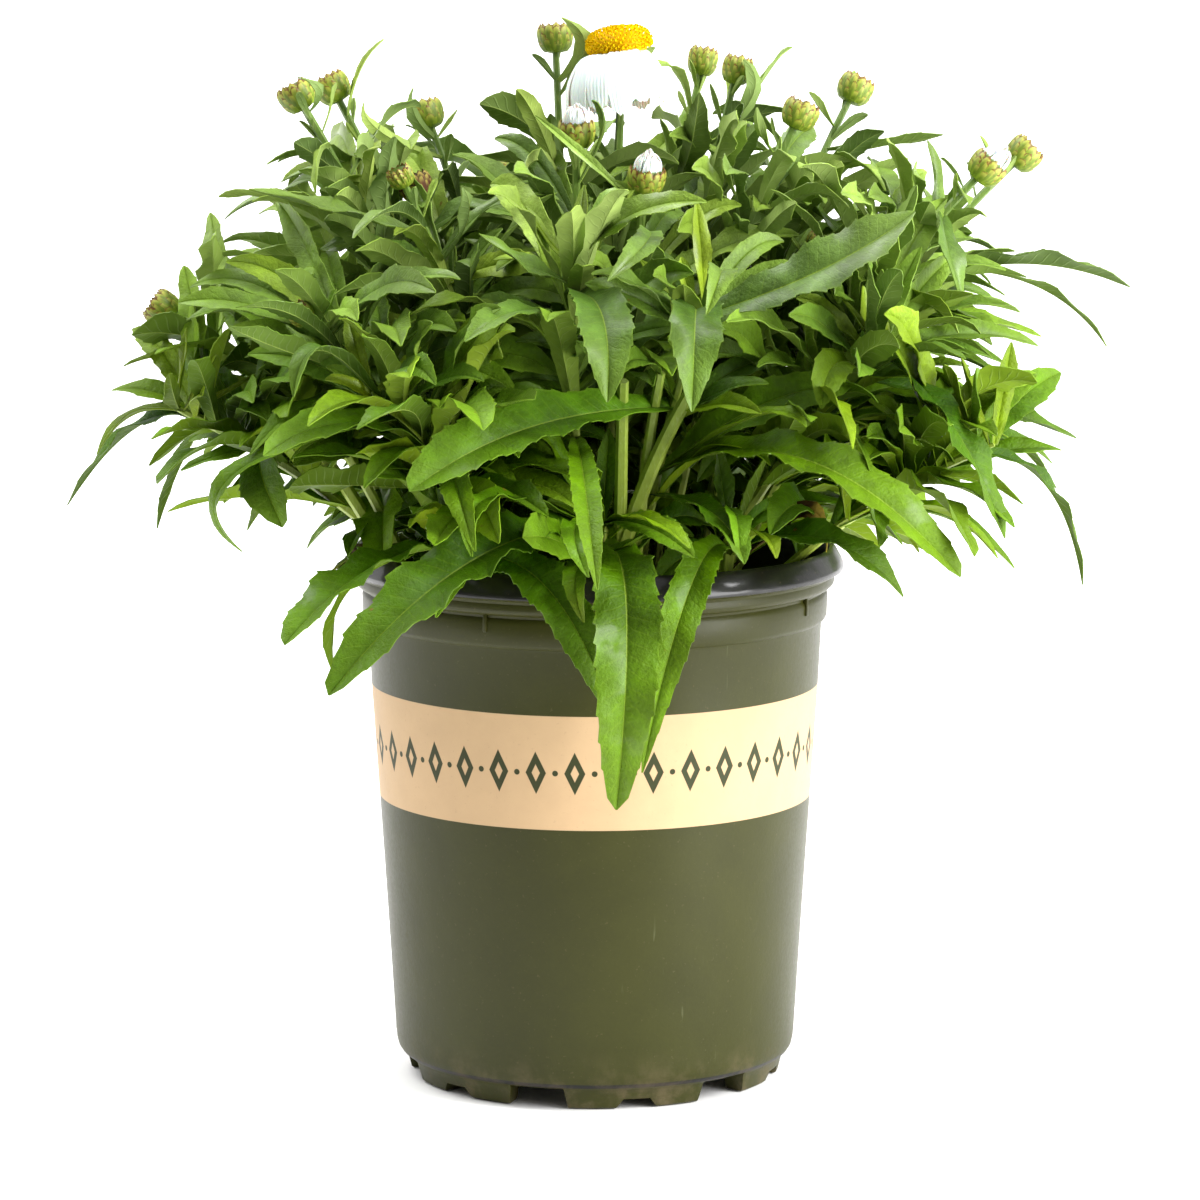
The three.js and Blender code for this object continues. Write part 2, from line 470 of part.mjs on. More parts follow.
// Turns a closed three.js geometry into a solid that can be joined and cut.
function solidOf(geometry) {
  const bare = geometry.index ? geometry.toNonIndexed() : geometry.clone();
  bare.deleteAttribute("normal");
  bare.deleteAttribute("uv");
  const merged = mergeVertices(bare, 1e-4);
  return new wasm.Manifold(
    new wasm.Mesh({
      numProp: 3,
      vertProperties: merged.attributes.position.array,
      triVerts: new Uint32Array(merged.index.array),
    }),
  );
}

function meshOf(solid, name, material) {
  const { numProp, vertProperties, triVerts } = solid.getMesh();
  const count = vertProperties.length / numProp;
  const position = new Float32Array(count * 3);
  for (let i = 0; i < count; i++) position.set(vertProperties.subarray(i * numProp, i * numProp + 3), i * 3);
  const geometry = new THREE.BufferGeometry();
  geometry.setAttribute("position", new THREE.BufferAttribute(position, 3));
  geometry.setIndex(new THREE.BufferAttribute(triVerts, 1));
  geometry.computeVertexNormals();
  const mesh = new THREE.Mesh(geometry, material);
  mesh.name = name;
  return mesh;
}

// A solid from triangles given as lists of points
function solidOfTriangles(triangles) {
  const geometry = new THREE.BufferGeometry();
  geometry.setAttribute("position", new THREE.Float32BufferAttribute(triangles.flat(2), 3));
  return solidOf(geometry);
}

// A closed skin over rings of points that run anticlockwise seen from the last ring. Both ends are closed by
// fans.
function loft(rings) {
  const triangles = [];
  for (let r = 0; r + 1 < rings.length; r++)
    rings[r].forEach((a, i) => {
      const next = (i + 1) % rings[r].length;
      const [b, c, d] = [rings[r][next], rings[r + 1][next], rings[r + 1][i]];
      triangles.push([a, b, c], [a, c, d]);
    });
  const [first, last] = [rings[0], rings[rings.length - 1]];
  for (let i = 1; i + 1 < first.length; i++) {
    triangles.push([first[0], first[i + 1], first[i]]);
    triangles.push([last[0], last[i], last[i + 1]]);
  }
  return solidOfTriangles(triangles);
}

function ringRound(point, along, radius, sides, phase = 0) {
  const first = unit(cross(Math.abs(along[1]) < 0.9 ? [0, 1, 0] : [1, 0, 0], along));
  const second = cross(along, first);
  return Array.from({ length: sides }, (_, i) => {
    const angle = phase + (i * 2 * Math.PI) / sides;
    return add(add(point, first, radius * Math.cos(angle)), second, radius * Math.sin(angle));
  });
}

// The pot's section, from the axis under the floor, round the outside, over the lip and back inside.
function potSection() {
  const outside = [
    [0, FLOOR_UNDERSIDE],
    [FOOT_INNER_RADIUS - 1, FLOOR_UNDERSIDE],
    [FOOT_INNER_RADIUS, 0],
    [FOOT_RADIUS, 0],
    [63, FLOOR_UNDERSIDE],
    [65.6, 9],
    BODY_BOTTOM,
    BODY_TOP,
    [76.6, 157],
    [77.3, 165],
    [79.3, 166.3],
    [79.6, 170],
    [LIP_RADIUS, 170.4],
    [LIP_RADIUS, 172],
    [79.2, POT_HEIGHT],
    [77.6, POT_HEIGHT],
  ];
  const inside = [
    [77, 171],
    [76, 167],
    [75.2, 157.6],
    [BODY_TOP[0] - WALL, BODY_TOP[1] - 0.8],
    [BODY_BOTTOM[0] - WALL, BODY_BOTTOM[1]],
    [62.5, FLOOR_TOP],
    [0, FLOOR_TOP],
  ];
  return [...outside, ...inside].map(([r, z]) => new THREE.Vector2(r, z));
}

function turned(section) {
  return solidOf(new THREE.LatheGeometry(section, SEGMENTS).rotateX(Math.PI / 2));
}

// A bar with a trapezoid section that runs outwards from the axis at an angle from the front.
function radialCutter({ bottomWidth, topWidth, height }, from, to, degrees, lowest = -1) {
  const outline = new THREE.Shape([
    new THREE.Vector2(-bottomWidth / 2, lowest),
    new THREE.Vector2(bottomWidth / 2, lowest),
    new THREE.Vector2(topWidth / 2, height),
    new THREE.Vector2(-topWidth / 2, height),
  ]);
  const bar = new THREE.ExtrudeGeometry(outline, { depth: to - from, bevelEnabled: false });
  bar.rotateX(Math.PI / 2).translate(0, -from, 0).rotateZ(radians(degrees));
  return solidOf(bar);
}

function makePot() {
  let pot = turned(potSection());
  for (let turn = 0; turn < 360; turn += FEET_PERIOD) {
    pot = pot.subtract(radialCutter(SLOT, FOOT_INNER_RADIUS - 3, 72, SLOT_ANGLE + turn));
    pot = pot.subtract(radialCutter(ARCH, FOOT_INNER_RADIUS - 3, 72, ARCH_ANGLE + turn));
    const { width, from, to } = DRAIN_HOLE;
    const hole = { bottomWidth: width, topWidth: width, height: FLOOR_TOP + 3 };
    pot = pot.subtract(radialCutter(hole, from, to, SLOT_ANGLE + turn, 5));
  }
  return pot;
}

// Potting mix fills the pot up to a shallow crown, with a plain hole for each stem.
function makeMix() {
  const top = [1, 0.6].map((share) => {
    const r = (BODY_TOP[0] - WALL - GAP - 0.1) * share;
    return [r, soilHeight(r, 0) - (share === 1 ? 1.5 : 0)];
  });
  const section = [
    [0, FLOOR_TOP + GAP],
    [62.5 - GAP - 0.6, FLOOR_TOP + GAP],
    [BODY_BOTTOM[0] - WALL - GAP, BODY_BOTTOM[1] + 0.6],
    [BODY_TOP[0] - WALL - GAP, BODY_TOP[1] - 1.4],
    ...top,
    [0, SOIL_EDGE + SOIL_CROWN],
  ];
  let bulk = turned(section.map(([r, z]) => new THREE.Vector2(r, z)));
  STEMS.forEach((stem) => {
    const radius = stem.girth / 2 + GAP / Math.cos(Math.PI / STEM_SIDES);
    const [x, y] = stem.root;
    const level = soilHeight(x, y);
    const ends = [level - HOLE_DEPTH, level + 12];
    const hole = ends.map((z) => ringRound([x, y, z], [0, 0, 1], radius, STEM_SIDES));
    bulk = bulk.subtract(loft(hole));
  });
  return bulk;
}

// A stem stands upright in its hole and then bends out to its head, thinning a little.
function makeStem(stem) {
  const { foot } = stemBend(stem);
  const rings = [ringRound(add(foot, [0, 0, -STEM_SINK]), [0, 0, 1], stem.girth / 2, STEM_SIDES)];
  for (let i = 0; i <= STEM_STEPS; i++) {
    const share = i / STEM_STEPS;
    const { point, along } = onStem(stem, share);
    const direction = i === 0 ? [0, 0, 1] : along;
    rings.push(ringRound(point, direction, (stem.girth / 2) * mix(1, STEM_TAPER, share), STEM_SIDES));
  }
  return loft(rings);
}

// A blade with saw teeth. It springs from an upright line inside the stem, its faces meet in sharp edges, and
// they are split alike above and below.
function makeBlade(leaf) {
  const span = length(add(leaf.tip, leaf.root, -1));
  const stations = span > 70 ? 4 : span > 34 ? 3 : 2;
  const rib = (i, side) => {
    const { point, up } = bladePoint(leaf, i / stations, 0);
    return add(point, up, side * (LEAF_THICKNESS / 2) * (i === stations ? 0 : 1));
  };
  const edge = (i, inTooth, across) => {
    const s = (i + (inTooth ? 0.8 : 0)) / stations;
    const reach = halfWidth(leaf, s) + (inTooth ? TOOTH : -TOOTH / 2);
    return bladePoint(leaf, s, across, Math.max(0.5, reach)).point;
  };
  const triangles = [];
  const face = (a, b, c, turnRound) => triangles.push(turnRound ? [a, c, b] : [a, b, c]);
  for (const across of [1, -1]) {
    for (const side of [1, -1]) {
      const flip = side * across < 0;
      for (let i = 0; i < stations; i++) {
        const [near, far, tooth] = [rib(i, side), rib(i + 1, side), edge(i, true, across)];
        face(near, far, tooth, flip);
        if (i > 0) face(near, tooth, edge(i, false, across), flip);
        if (i + 1 < stations) face(far, edge(i + 1, false, across), tooth, flip);
      }
    }
    face(rib(0, 1), edge(0, true, across), rib(0, -1), across < 0);
  }
  return solidOfTriangles(triangles);
}

function joined(solids) {
  return solids.slice(1).reduce((sum, solid) => sum.add(solid), solids[0]);
}

// A bud is a low globe with upright ridges for its scales. Each ring is turned half a ridge from the last.
function makeBud(stem) {
  const { radius, height } = HEADS[stem.top];
  const { along } = onStem(stem, 1);
  const base = add(stem.head, along, GAP);
  const rings = BUD_OUTLINE.map(([share, up], k) => {
    const middle = add(base, along, up * height);
    const turn = (k % 2) * (Math.PI / BUD_SEGMENTS);
    const points = ringRound(middle, along, radius * share, BUD_SEGMENTS * 2, turn);
    return points.map((point, i) => {
      const ridge = k === 0 ? 1 : SCALE_RIDGE[(i + 1) % 2];
      return add(middle, add(point, middle, -1), ridge);
    });
  });
  return loft(rings);
}

// The tuft of folded white rays that stands out of an opening bud
function makeTuft(stem) {
  const { radius, height, tuft } = HEADS[stem.top];
  const { along } = onStem(stem, 1);
  const base = add(stem.head, along, GAP + height + GAP);
  const rings = TUFT_OUTLINE.map(([share, up]) =>
    ringRound(add(base, along, up * tuft), along, radius * share, BUD_SEGMENTS + 2),
  );
  return loft(rings);
}

// Moves points of the flower to its place and tilt.
function atBloom(stem, points) {
  const tilt = new THREE.Euler(BLOOM_TILT[0], BLOOM_TILT[1], 0);
  const head = new THREE.Vector3(...stem.head);
  return points.map((p) => new THREE.Vector3(...p).applyEuler(tilt).add(head).toArray());
}

const circle = (radius, z, sides, phase = 0) =>
  Array.from({ length: sides }, (_, i) => {
    const angle = phase + (i * 2 * Math.PI) / sides;
    return [radius * Math.cos(angle), radius * Math.sin(angle), z];
  });

// The green cup under the open head
function makeCup(stem) {
  return loft(CUP_OUTLINE.map(([r, z]) => atBloom(stem, circle(r, z, 10))));
}

// One white ray, bent out over the cup and down again. It lies on its way out at each station of its path,
// is that wide there, and turns from level to upright.
function makeRay(stem, i) {
  const angle = (i * 2 * Math.PI) / RAYS;
  const [dx, dy] = [Math.cos(angle), Math.sin(angle)];
  const spread = RAY_SPREAD - SIDE_SPREAD * dx;
  const droop = RAY_DROOP - SIDE_DROOP * dx + 1.5 * Math.sin(i * 2.4);
  const stations = [
    { r: 8, z: 5, width: 2.6, lean: 0 },
    { r: spread * 0.68, z: 4, width: 5.6, lean: 0.15 },
    { r: spread * 0.92, z: -0.3 * droop, width: 6.8, lean: 0.85 },
    { r: spread, z: -droop, width: 3, lean: 0.97 },
  ];
  const rings = stations.map(({ r, z, width, lean }) => {
    const outwards = lean * RAY_THICKNESS;
    const upwards = (1 - lean) * RAY_THICKNESS + 0.1;
    const at = (side, up) => {
      const reach = r + up * outwards;
      const across = (side * width) / 2;
      return [dx * reach - dy * across, dy * reach + dx * across, z + up * upwards];
    };
    return atBloom(stem, [at(-1, 0), at(0, -1), at(1, 0), at(0, 1)]);
  });
  return loft(rings);
}

function makeRays(stem) {
  const collar = loft(RAY_COLLAR.map(([r, z]) => atBloom(stem, circle(r, z, RAYS))));
  const rays = Array.from({ length: RAYS }, (_, i) => makeRay(stem, i));
  return joined([collar, ...rays]);
}

// The yellow disc: a rough dome, whose rings are turned against each other
function makeDisc(stem) {
  const rings = DISC_OUTLINE.map(([r, z], k) => {
    const ring = circle(r, z, DISC_SIDES, (k * Math.PI) / DISC_SIDES);
    const rough = k > 1 ? 1 : 0;
    return atBloom(stem, ring.map(([x, y, h], i) => [x, y, h + rough * (i % 2 ? 0.5 : -0.3)]));
  });
  return loft(rings);
}

const plant = new THREE.Group();
plant.add(meshOf(makePot(), "pot", MATERIALS.pot));
plant.add(meshOf(makeMix(), "potting_mix", MATERIALS.mix));

const leaves = layOutLeaves();
STEMS.forEach((stem, owner) => {
  const blades = leaves.filter((leaf) => leaf.owner === owner).map(makeBlade);
  const parts = [makeStem(stem), ...(stem.top === "bloom" ? [makeCup(stem)] : []), ...blades];
  plant.add(meshOf(joined(parts), stem.name, MATERIALS.leaf));
  if (stem.top === "bloom") {
    plant.add(meshOf(makeRays(stem), "bloom_rays", MATERIALS.ray));
    plant.add(meshOf(makeDisc(stem), "bloom_disc", MATERIALS.disc));
  } else if (stem.top !== "shoot") {
    const number = stem.name.slice(-2);
    const withered = stem.top === "withered_head";
    const name = withered ? stem.top : `bud_${number}`;
    plant.add(meshOf(makeBud(stem), name, withered ? MATERIALS.withered : MATERIALS.bud));
    if (HEADS[stem.top].tuft) plant.add(meshOf(makeTuft(stem), `bud_rays_${number}`, MATERIALS.ray));
  }
});

export default plant;
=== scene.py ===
# %% [markdown]
# A shasta daisy stands in a one gallon nursery pot. It is about thirty leafy stems with sixteen closed buds,
# three opening ones, a withered head and one open flower, growing out of dark potting mix. The frame below
# holds its plain solids at their true size. This lesson keeps their places and puts finer pieces there: a
# moulded pot, toothed leaves, scaly buds and a flower.

import math

import bpy
import numpy as np
from mathutils import Matrix, Vector, noise as mathutils_noise


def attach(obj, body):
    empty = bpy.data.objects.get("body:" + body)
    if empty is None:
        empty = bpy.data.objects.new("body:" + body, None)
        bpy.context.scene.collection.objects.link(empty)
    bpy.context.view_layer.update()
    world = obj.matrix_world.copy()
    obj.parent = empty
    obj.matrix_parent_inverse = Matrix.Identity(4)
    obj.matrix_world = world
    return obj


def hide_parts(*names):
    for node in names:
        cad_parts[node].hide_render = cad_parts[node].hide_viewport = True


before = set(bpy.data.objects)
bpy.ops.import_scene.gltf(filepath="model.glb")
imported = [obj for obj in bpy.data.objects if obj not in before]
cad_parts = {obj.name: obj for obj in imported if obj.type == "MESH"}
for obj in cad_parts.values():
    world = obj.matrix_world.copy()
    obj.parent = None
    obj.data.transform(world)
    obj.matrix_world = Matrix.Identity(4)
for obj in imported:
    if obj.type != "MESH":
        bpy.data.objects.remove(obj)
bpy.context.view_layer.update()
MM = 0.001
print("frame holds", len(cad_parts), "solids")

# %% [markdown]
# Everything here is drawn in millimetres and handed to Blender in metres. A few helpers keep the cells short.
# They select one thing, pick vertices by their place, read and write a mesh's points, and copy a finished
# piece with a mesh of its own. Picking in code stands in for the mouse, so each operator still acts on what a
# hand would select.

# %% Helpers for selecting and for points
WELD = 0.01  # millimetres within which two points are one


def deselect():
    bpy.ops.object.select_all(action="DESELECT")


def only(piece):
    """Leaves one piece selected and active."""
    deselect()
    piece.select_set(True)
    bpy.context.view_layer.objects.active = piece
    return piece


def points_of(piece):
    """The piece's points in millimetres, one row each."""
    flat = np.zeros(len(piece.data.vertices) * 3, np.float32)
    piece.data.vertices.foreach_get("co", flat)
    return flat.reshape(-1, 3).astype(float) / MM


def move_points(piece, points):
    piece.data.vertices.foreach_set("co", (np.asarray(points) * MM).astype(np.float32).ravel())
    piece.data.update()


def pick(piece, chosen):
    """Opens the piece for editing with only the chosen points selected, given as one truth each."""
    only(piece)
    for flags in (piece.data.polygons, piece.data.edges):
        flags.foreach_set("select", np.zeros(len(flags), bool))
    piece.data.vertices.foreach_set("select", np.asarray(chosen, bool))
    bpy.ops.object.mode_set(mode="EDIT")
    bpy.ops.mesh.select_mode(type="VERT")


def close_editing():
    bpy.ops.object.mode_set(mode="OBJECT")


def stretch(piece, chosen, factors):
    """Stretches the chosen points about the origin."""
    pick(piece, chosen)
    bpy.ops.transform.resize(value=factors, center_override=(0, 0, 0))
    close_editing()


def push(piece, chosen, offset):
    """Moves the chosen points by an offset in millimetres."""
    pick(piece, chosen)
    bpy.ops.transform.translate(value=tuple(part * MM for part in offset))
    close_editing()


# %% Helpers for copying, joining and finishing pieces
def settle(piece):
    """Puts the place, turn and size of an object into its mesh."""
    only(piece)
    bpy.ops.object.transform_apply(location=True, rotation=True, scale=True)
    return piece


def named(name):
    """Names the primitive that was just added."""
    piece = bpy.context.object
    piece.name = piece.data.name = name
    return piece


def copy_of(piece, name):
    twin = piece.copy()
    twin.data = piece.data.copy()
    twin.name = twin.data.name = name
    bpy.context.scene.collection.objects.link(twin)
    return twin


def join(pieces, name):
    deselect()
    for piece in pieces:
        piece.select_set(True)
    bpy.context.view_layer.objects.active = pieces[0]
    if len(pieces) > 1:
        bpy.ops.object.join()
    return named(name)


def apply_modifier(piece, kind, **settings):
    """Adds a modifier with its settings and applies it at once."""
    only(piece)
    modifier = piece.modifiers.new(kind.title(), kind)
    for key, value in settings.items():
        setattr(modifier, key, value)
    bpy.ops.object.modifier_apply(modifier=modifier.name)
    return piece


def smooth(piece, degrees=40):
    only(piece)
    bpy.ops.object.shade_smooth_by_angle(angle=math.radians(degrees))
    return piece


def face_outwards(piece):
    only(piece)
    bpy.ops.object.mode_set(mode="EDIT")
    bpy.ops.mesh.select_all(action="SELECT")
    bpy.ops.mesh.remove_doubles(threshold=WELD * MM)
    bpy.ops.mesh.normals_make_consistent(inside=False)
    close_editing()
    return piece


def place(piece, slot, *nodes):
    """Makes a finished piece part of the plant: it rides on the one body, and the solids named are hidden."""
    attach(piece, "root")
    if nodes:
        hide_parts(*nodes)
    return piece


def triangles_in(piece):
    return sum(len(face.vertices) - 2 for face in piece.data.polygons)


# %% [markdown]
# The camera stands where the photographer's did: 1.75 m in front, a little above the leaves, looking down by
# eight and a half degrees. The lens was found by fitting the pot's known height and width to the picture.

# %% Camera
CAMERA_PLACE = (0.0017, -1.75, 0.42)
CAMERA_DOWN = 8.52  # degrees below level
LENS = 160.1
SENSOR = 36

camera = bpy.data.objects.new("camera", bpy.data.cameras.new("camera"))
bpy.context.scene.collection.objects.link(camera)
camera.location = CAMERA_PLACE
camera.rotation_euler = (math.radians(90 - CAMERA_DOWN), 0, 0)
camera.data.lens = LENS
camera.data.sensor_width = SENSOR
bpy.context.scene.camera = camera
print("camera looks down by", CAMERA_DOWN, "degrees")

# %% [markdown]
# The plant was photographed on white, in wide soft light. The room lights most from above, behind and the
# right, and least from behind the camera, which is what gives the pot its light edges and its deep green
# middle. To the camera it is white all round. A soft sun from the front right models the leaves, a wider one
# behind the plant lights their tops, and a tall panel at the right draws a broad upright gleam on the pot.
# The pale floor glows a little, a painted light that melts it into the white room, and it has no glow under
# the pot.

# %% White room
ROOM_STRENGTH = 1.05  # above, behind and at the right
FRONT_STRENGTH = 0.17  # behind the camera
ROOM_FADE = (-0.8, -0.15)  # how far towards the back the front's strength ends and the room's begins
ROOM_LEANS = (("Z", 0.7), ("X", 0.65))  # how far up and right count against back


def white_room():
    """A world that looks white all round, but lights less from the part behind the camera."""
    room = bpy.data.worlds.new("white_room")
    room.use_nodes = True
    tree = room.node_tree
    way = tree.nodes.new("ShaderNodeSeparateXYZ")
    tree.links.new(tree.nodes.new("ShaderNodeTexCoord").outputs["Generated"], way.inputs[0])
    brightness = way.outputs["Y"]
    for axis, weight in ROOM_LEANS:
        step = tree.nodes.new("ShaderNodeMath")
        step.operation = "MULTIPLY_ADD"
        tree.links.new(way.outputs[axis], step.inputs[0])
        step.inputs[1].default_value = weight
        tree.links.new(brightness, step.inputs[2])
        brightness = step.outputs[0]
    fade = tree.nodes.new("ShaderNodeMapRange")
    fade.interpolation_type = "SMOOTHSTEP"
    tree.links.new(brightness, fade.inputs[0])
    for number, value in enumerate((*ROOM_FADE, FRONT_STRENGTH, ROOM_STRENGTH), 1):
        fade.inputs[number].default_value = value
    shown = tree.nodes.new("ShaderNodeMath")
    shown.operation = "MAXIMUM"
    tree.links.new(fade.outputs[0], shown.inputs[0])
    tree.links.new(tree.nodes.new("ShaderNodeLightPath").outputs["Is Camera Ray"], shown.inputs[1])
    tree.nodes["Background"].inputs[0].default_value = (1, 1, 1, 1)
    tree.links.new(shown.outputs[0], tree.nodes["Background"].inputs[1])
    return room


bpy.context.scene.world = white_room()
bpy.context.scene.view_settings.view_transform = "Standard"
print("room is", ROOM_STRENGTH, "bright")

# %% Floor
FLOOR_SIZE = 60
FLOOR_FRONT = -0.42  # the sheet ends this far in front of the pot
FLOOR_LEVEL = -0.0003
FLOOR_GLOW = 0.35
GLOW_REACH = (0.055, 0.14)  # metres from the pot's middle over which the glow rises
FLOOR_TONE = (0.93, 0.925, 0.92, 1)


def pale_floor():
    """A pale sheet with a painted glow that washes out the shadows on it. Under the pot the glow fades away.
    """
    deselect()
    bpy.ops.mesh.primitive_plane_add(
        size=FLOOR_SIZE, location=(0, FLOOR_SIZE / 2 + FLOOR_FRONT, FLOOR_LEVEL))
    floor = settle(named("floor"))
    material = bpy.data.materials.new("pale_sheet")
    material.use_nodes = True
    tree = material.node_tree
    shader = tree.nodes["Principled BSDF"]
    away = tree.nodes.new("ShaderNodeVectorMath")
    away.operation = "LENGTH"
    tree.links.new(tree.nodes.new("ShaderNodeTexCoord").outputs["Object"], away.inputs[0])
    glow = tree.nodes.new("ShaderNodeMapRange")
    glow.interpolation_type = "SMOOTHSTEP"
    tree.links.new(away.outputs["Value"], glow.inputs[0])
    for number, value in enumerate((*GLOW_REACH, 0, 1), 1):
        glow.inputs[number].default_value = value
    # painted glow: the floor's own emission, which washes out its shadows and fades to none under the pot
    tree.links.new(glow.outputs[0], shader.inputs["Emission Color"])
    shader.inputs["Emission Strength"].default_value = FLOOR_GLOW
    shader.inputs["Base Color"].default_value = FLOOR_TONE
    shader.inputs["Roughness"].default_value = 0.9
    shader.inputs["Specular IOR Level"].default_value = 0.2
    floor.data.materials.append(material)


pale_floor()
print("floor is", FLOOR_SIZE, "m wide")

# %% Lights
# name, where the light comes from, its strength, and how wide it looks in degrees, which softens its shadows
SUNS = [("key", (1.2, -0.5, 1.1), 2.4, 20), ("top_light", (-0.6, 0.3, 1.2), 3, 40)]
PANEL_PLACE, PANEL_AIM = (1.35, -0.8, 0.3), (0, 0, 0.1)
PANEL_SIZE = (0.8, 1.4)
PANEL_WATTS = 44


def add_light(name, kind, power, shines):
    """A light that shines in one direction."""
    light = bpy.data.objects.new(name, bpy.data.lights.new(name, kind))
    light.data.energy = power
    light.rotation_euler = shines.to_track_quat("-Z", "Y").to_euler()
    bpy.context.scene.collection.objects.link(light)
    return light


for name, comes_from, strength, width in SUNS:
    add_light(name, "SUN", strength, -Vector(comes_from)).data.angle = math.radians(width)
panel = add_light("right_box", "AREA", PANEL_WATTS, Vector(PANEL_AIM) - Vector(PANEL_PLACE))
panel.location = PANEL_PLACE
panel.data.shape = "RECTANGLE"
panel.data.size, panel.data.size_y = PANEL_SIZE
print(len(SUNS), "suns and a panel are up")

# %% [markdown]
# Every finish below is drawn by nodes. These helpers lay a node, feed its sockets with numbers or with other
# nodes, and mix two colours by a mask, so that a material can be read from top to bottom.

# %% Helpers for nodes
def paint(red, green, blue):
    """A colour given as it looks on a screen, 0 to 255, as Blender's linear colour."""
    shares = [value / 255 for value in (red, green, blue)]
    return [s / 12.92 if s <= 0.04045 else ((s + 0.055) / 1.055) ** 2.4 for s in shares] + [1]


def feed(tree, value, socket):
    if isinstance(value, bpy.types.NodeSocket):
        tree.links.new(value, socket)
    elif value is not None:
        socket.default_value = value


def calc(tree, operation, first, second=None, third=None, clamp=False):
    node = tree.nodes.new("ShaderNodeMath")
    node.operation = operation
    node.use_clamp = clamp
    for value, socket in zip((first, second, third), node.inputs):
        feed(tree, value, socket)
    return node.outputs[0]


def times(tree, first, second):
    return calc(tree, "MULTIPLY", first, second)


def inverse(tree, mask):
    return calc(tree, "SUBTRACT", 1.0, mask)


def mixed(tree, mask, first, second):
    node = tree.nodes.new("ShaderNodeMix")
    node.data_type = "RGBA"
    feed(tree, mask, node.inputs[0])
    feed(tree, first, node.inputs[6])
    feed(tree, second, node.inputs[7])
    return node.outputs[2]


def tinted(tree, colour, tint, mask, amount):
    """Lets a share of the tint in wherever the mask is."""
    return mixed(tree, times(tree, mask, amount), colour, tint)


def ramp(tree, value, low, high, start=0.0, end=1.0):
    """Rises smoothly from start to end while the value goes from low to high."""
    node = tree.nodes.new("ShaderNodeMapRange")
    node.interpolation_type = "SMOOTHSTEP"
    for number, socket in zip((value, low, high, start, end), node.inputs):
        feed(tree, number, socket)
    return node.outputs[0]


# %% Helpers for patterns, bumps, materials and groups
def noise(tree, vector, scale, detail=3.0, roughness=0.55):
    """A cloudy pattern. scale is its lumps for each metre."""
    node = tree.nodes.new("ShaderNodeTexNoise")
    for value, name in ((vector, "Vector"), (scale, "Scale"), (detail, "Detail"), (roughness, "Roughness")):
        feed(tree, value, node.inputs[name])
    return node.outputs["Fac"]


def object_place(tree):
    """Where a point lies on the finished piece, in metres."""
    return tree.nodes.new("ShaderNodeTexCoord").outputs["Object"]


def split(tree, vector):
    node = tree.nodes.new("ShaderNodeSeparateXYZ")
    feed(tree, vector, node.inputs[0])
    return node.outputs[0], node.outputs[1], node.outputs[2]


def attribute(tree, name):
    node = tree.nodes.new("ShaderNodeAttribute")
    node.attribute_name = name
    return node.outputs["Fac"]


def bumped(tree, shader, height, distance_mm, strength):
    node = tree.nodes.new("ShaderNodeBump")
    node.inputs["Distance"].default_value = distance_mm * MM
    node.inputs["Strength"].default_value = strength
    feed(tree, height, node.inputs["Height"])
    tree.links.new(node.outputs[0], shader.inputs["Normal"])


def new_finish(name):
    """An empty material, its node tree and its shader."""
    material = bpy.data.materials.new(name)
    material.use_nodes = True
    return material, material.node_tree, material.node_tree.nodes["Principled BSDF"]


def new_group(name, inputs, outputs):
    """A shared effect with named inputs and outputs, each given as (name, kind)."""
    group = bpy.data.node_groups.new(name, "ShaderNodeTree")
    for label, kind in inputs:
        group.interface.new_socket(label, in_out="INPUT", socket_type=kind)
    for label, kind in outputs:
        group.interface.new_socket(label, in_out="OUTPUT", socket_type=kind)
    return group, group.nodes.new("NodeGroupInput"), group.nodes.new("NodeGroupOutput")


def use_group(tree, group, **values):
    node = tree.nodes.new("ShaderNodeGroup")
    node.node_tree = group
    for name, value in values.items():
        feed(tree, value, node.inputs[name])
    return node.outputs


# %% [markdown]
# Three effects are shared. Mottling makes a colour cloudy, as grown tissue and moulded plastic are. Veining
# reads how far along and across a blade a point lies, and draws the midrib, the side veins and the thin light
# margin. Dusting gathers pale dust and splashed mix near the ground. Each is built once as a node group with
# named inputs.

# %% Shared effects: mottling, veining and dusting
FLOAT = "NodeSocketFloat"
COLOUR = "NodeSocketColor"
VECTOR = "NodeSocketVector"
DUST = paint(120, 104, 80)


def mottling_group():
    group, given, out = new_group(
        "mottling",
        [("Colour", COLOUR), ("Place", VECTOR), ("Size", FLOAT), ("Amount", FLOAT)],
        [("Colour", COLOUR), ("Mask", FLOAT)])
    per_metre = calc(group, "DIVIDE", 1.0, given.outputs["Size"])
    cloud = noise(group, given.outputs["Place"], per_metre, 4.0, 0.6)
    mask = ramp(group, cloud, 0.3, 0.7)
    lift = times(group, calc(group, "SUBTRACT", mask, 0.5), given.outputs["Amount"])
    tuned = group.nodes.new("ShaderNodeHueSaturation")
    feed(group, given.outputs["Colour"], tuned.inputs["Color"])
    feed(group, calc(group, "ADD", lift, 1.0), tuned.inputs["Value"])
    feed(group, tuned.outputs[0], out.inputs["Colour"])
    feed(group, mask, out.inputs["Mask"])
    return group


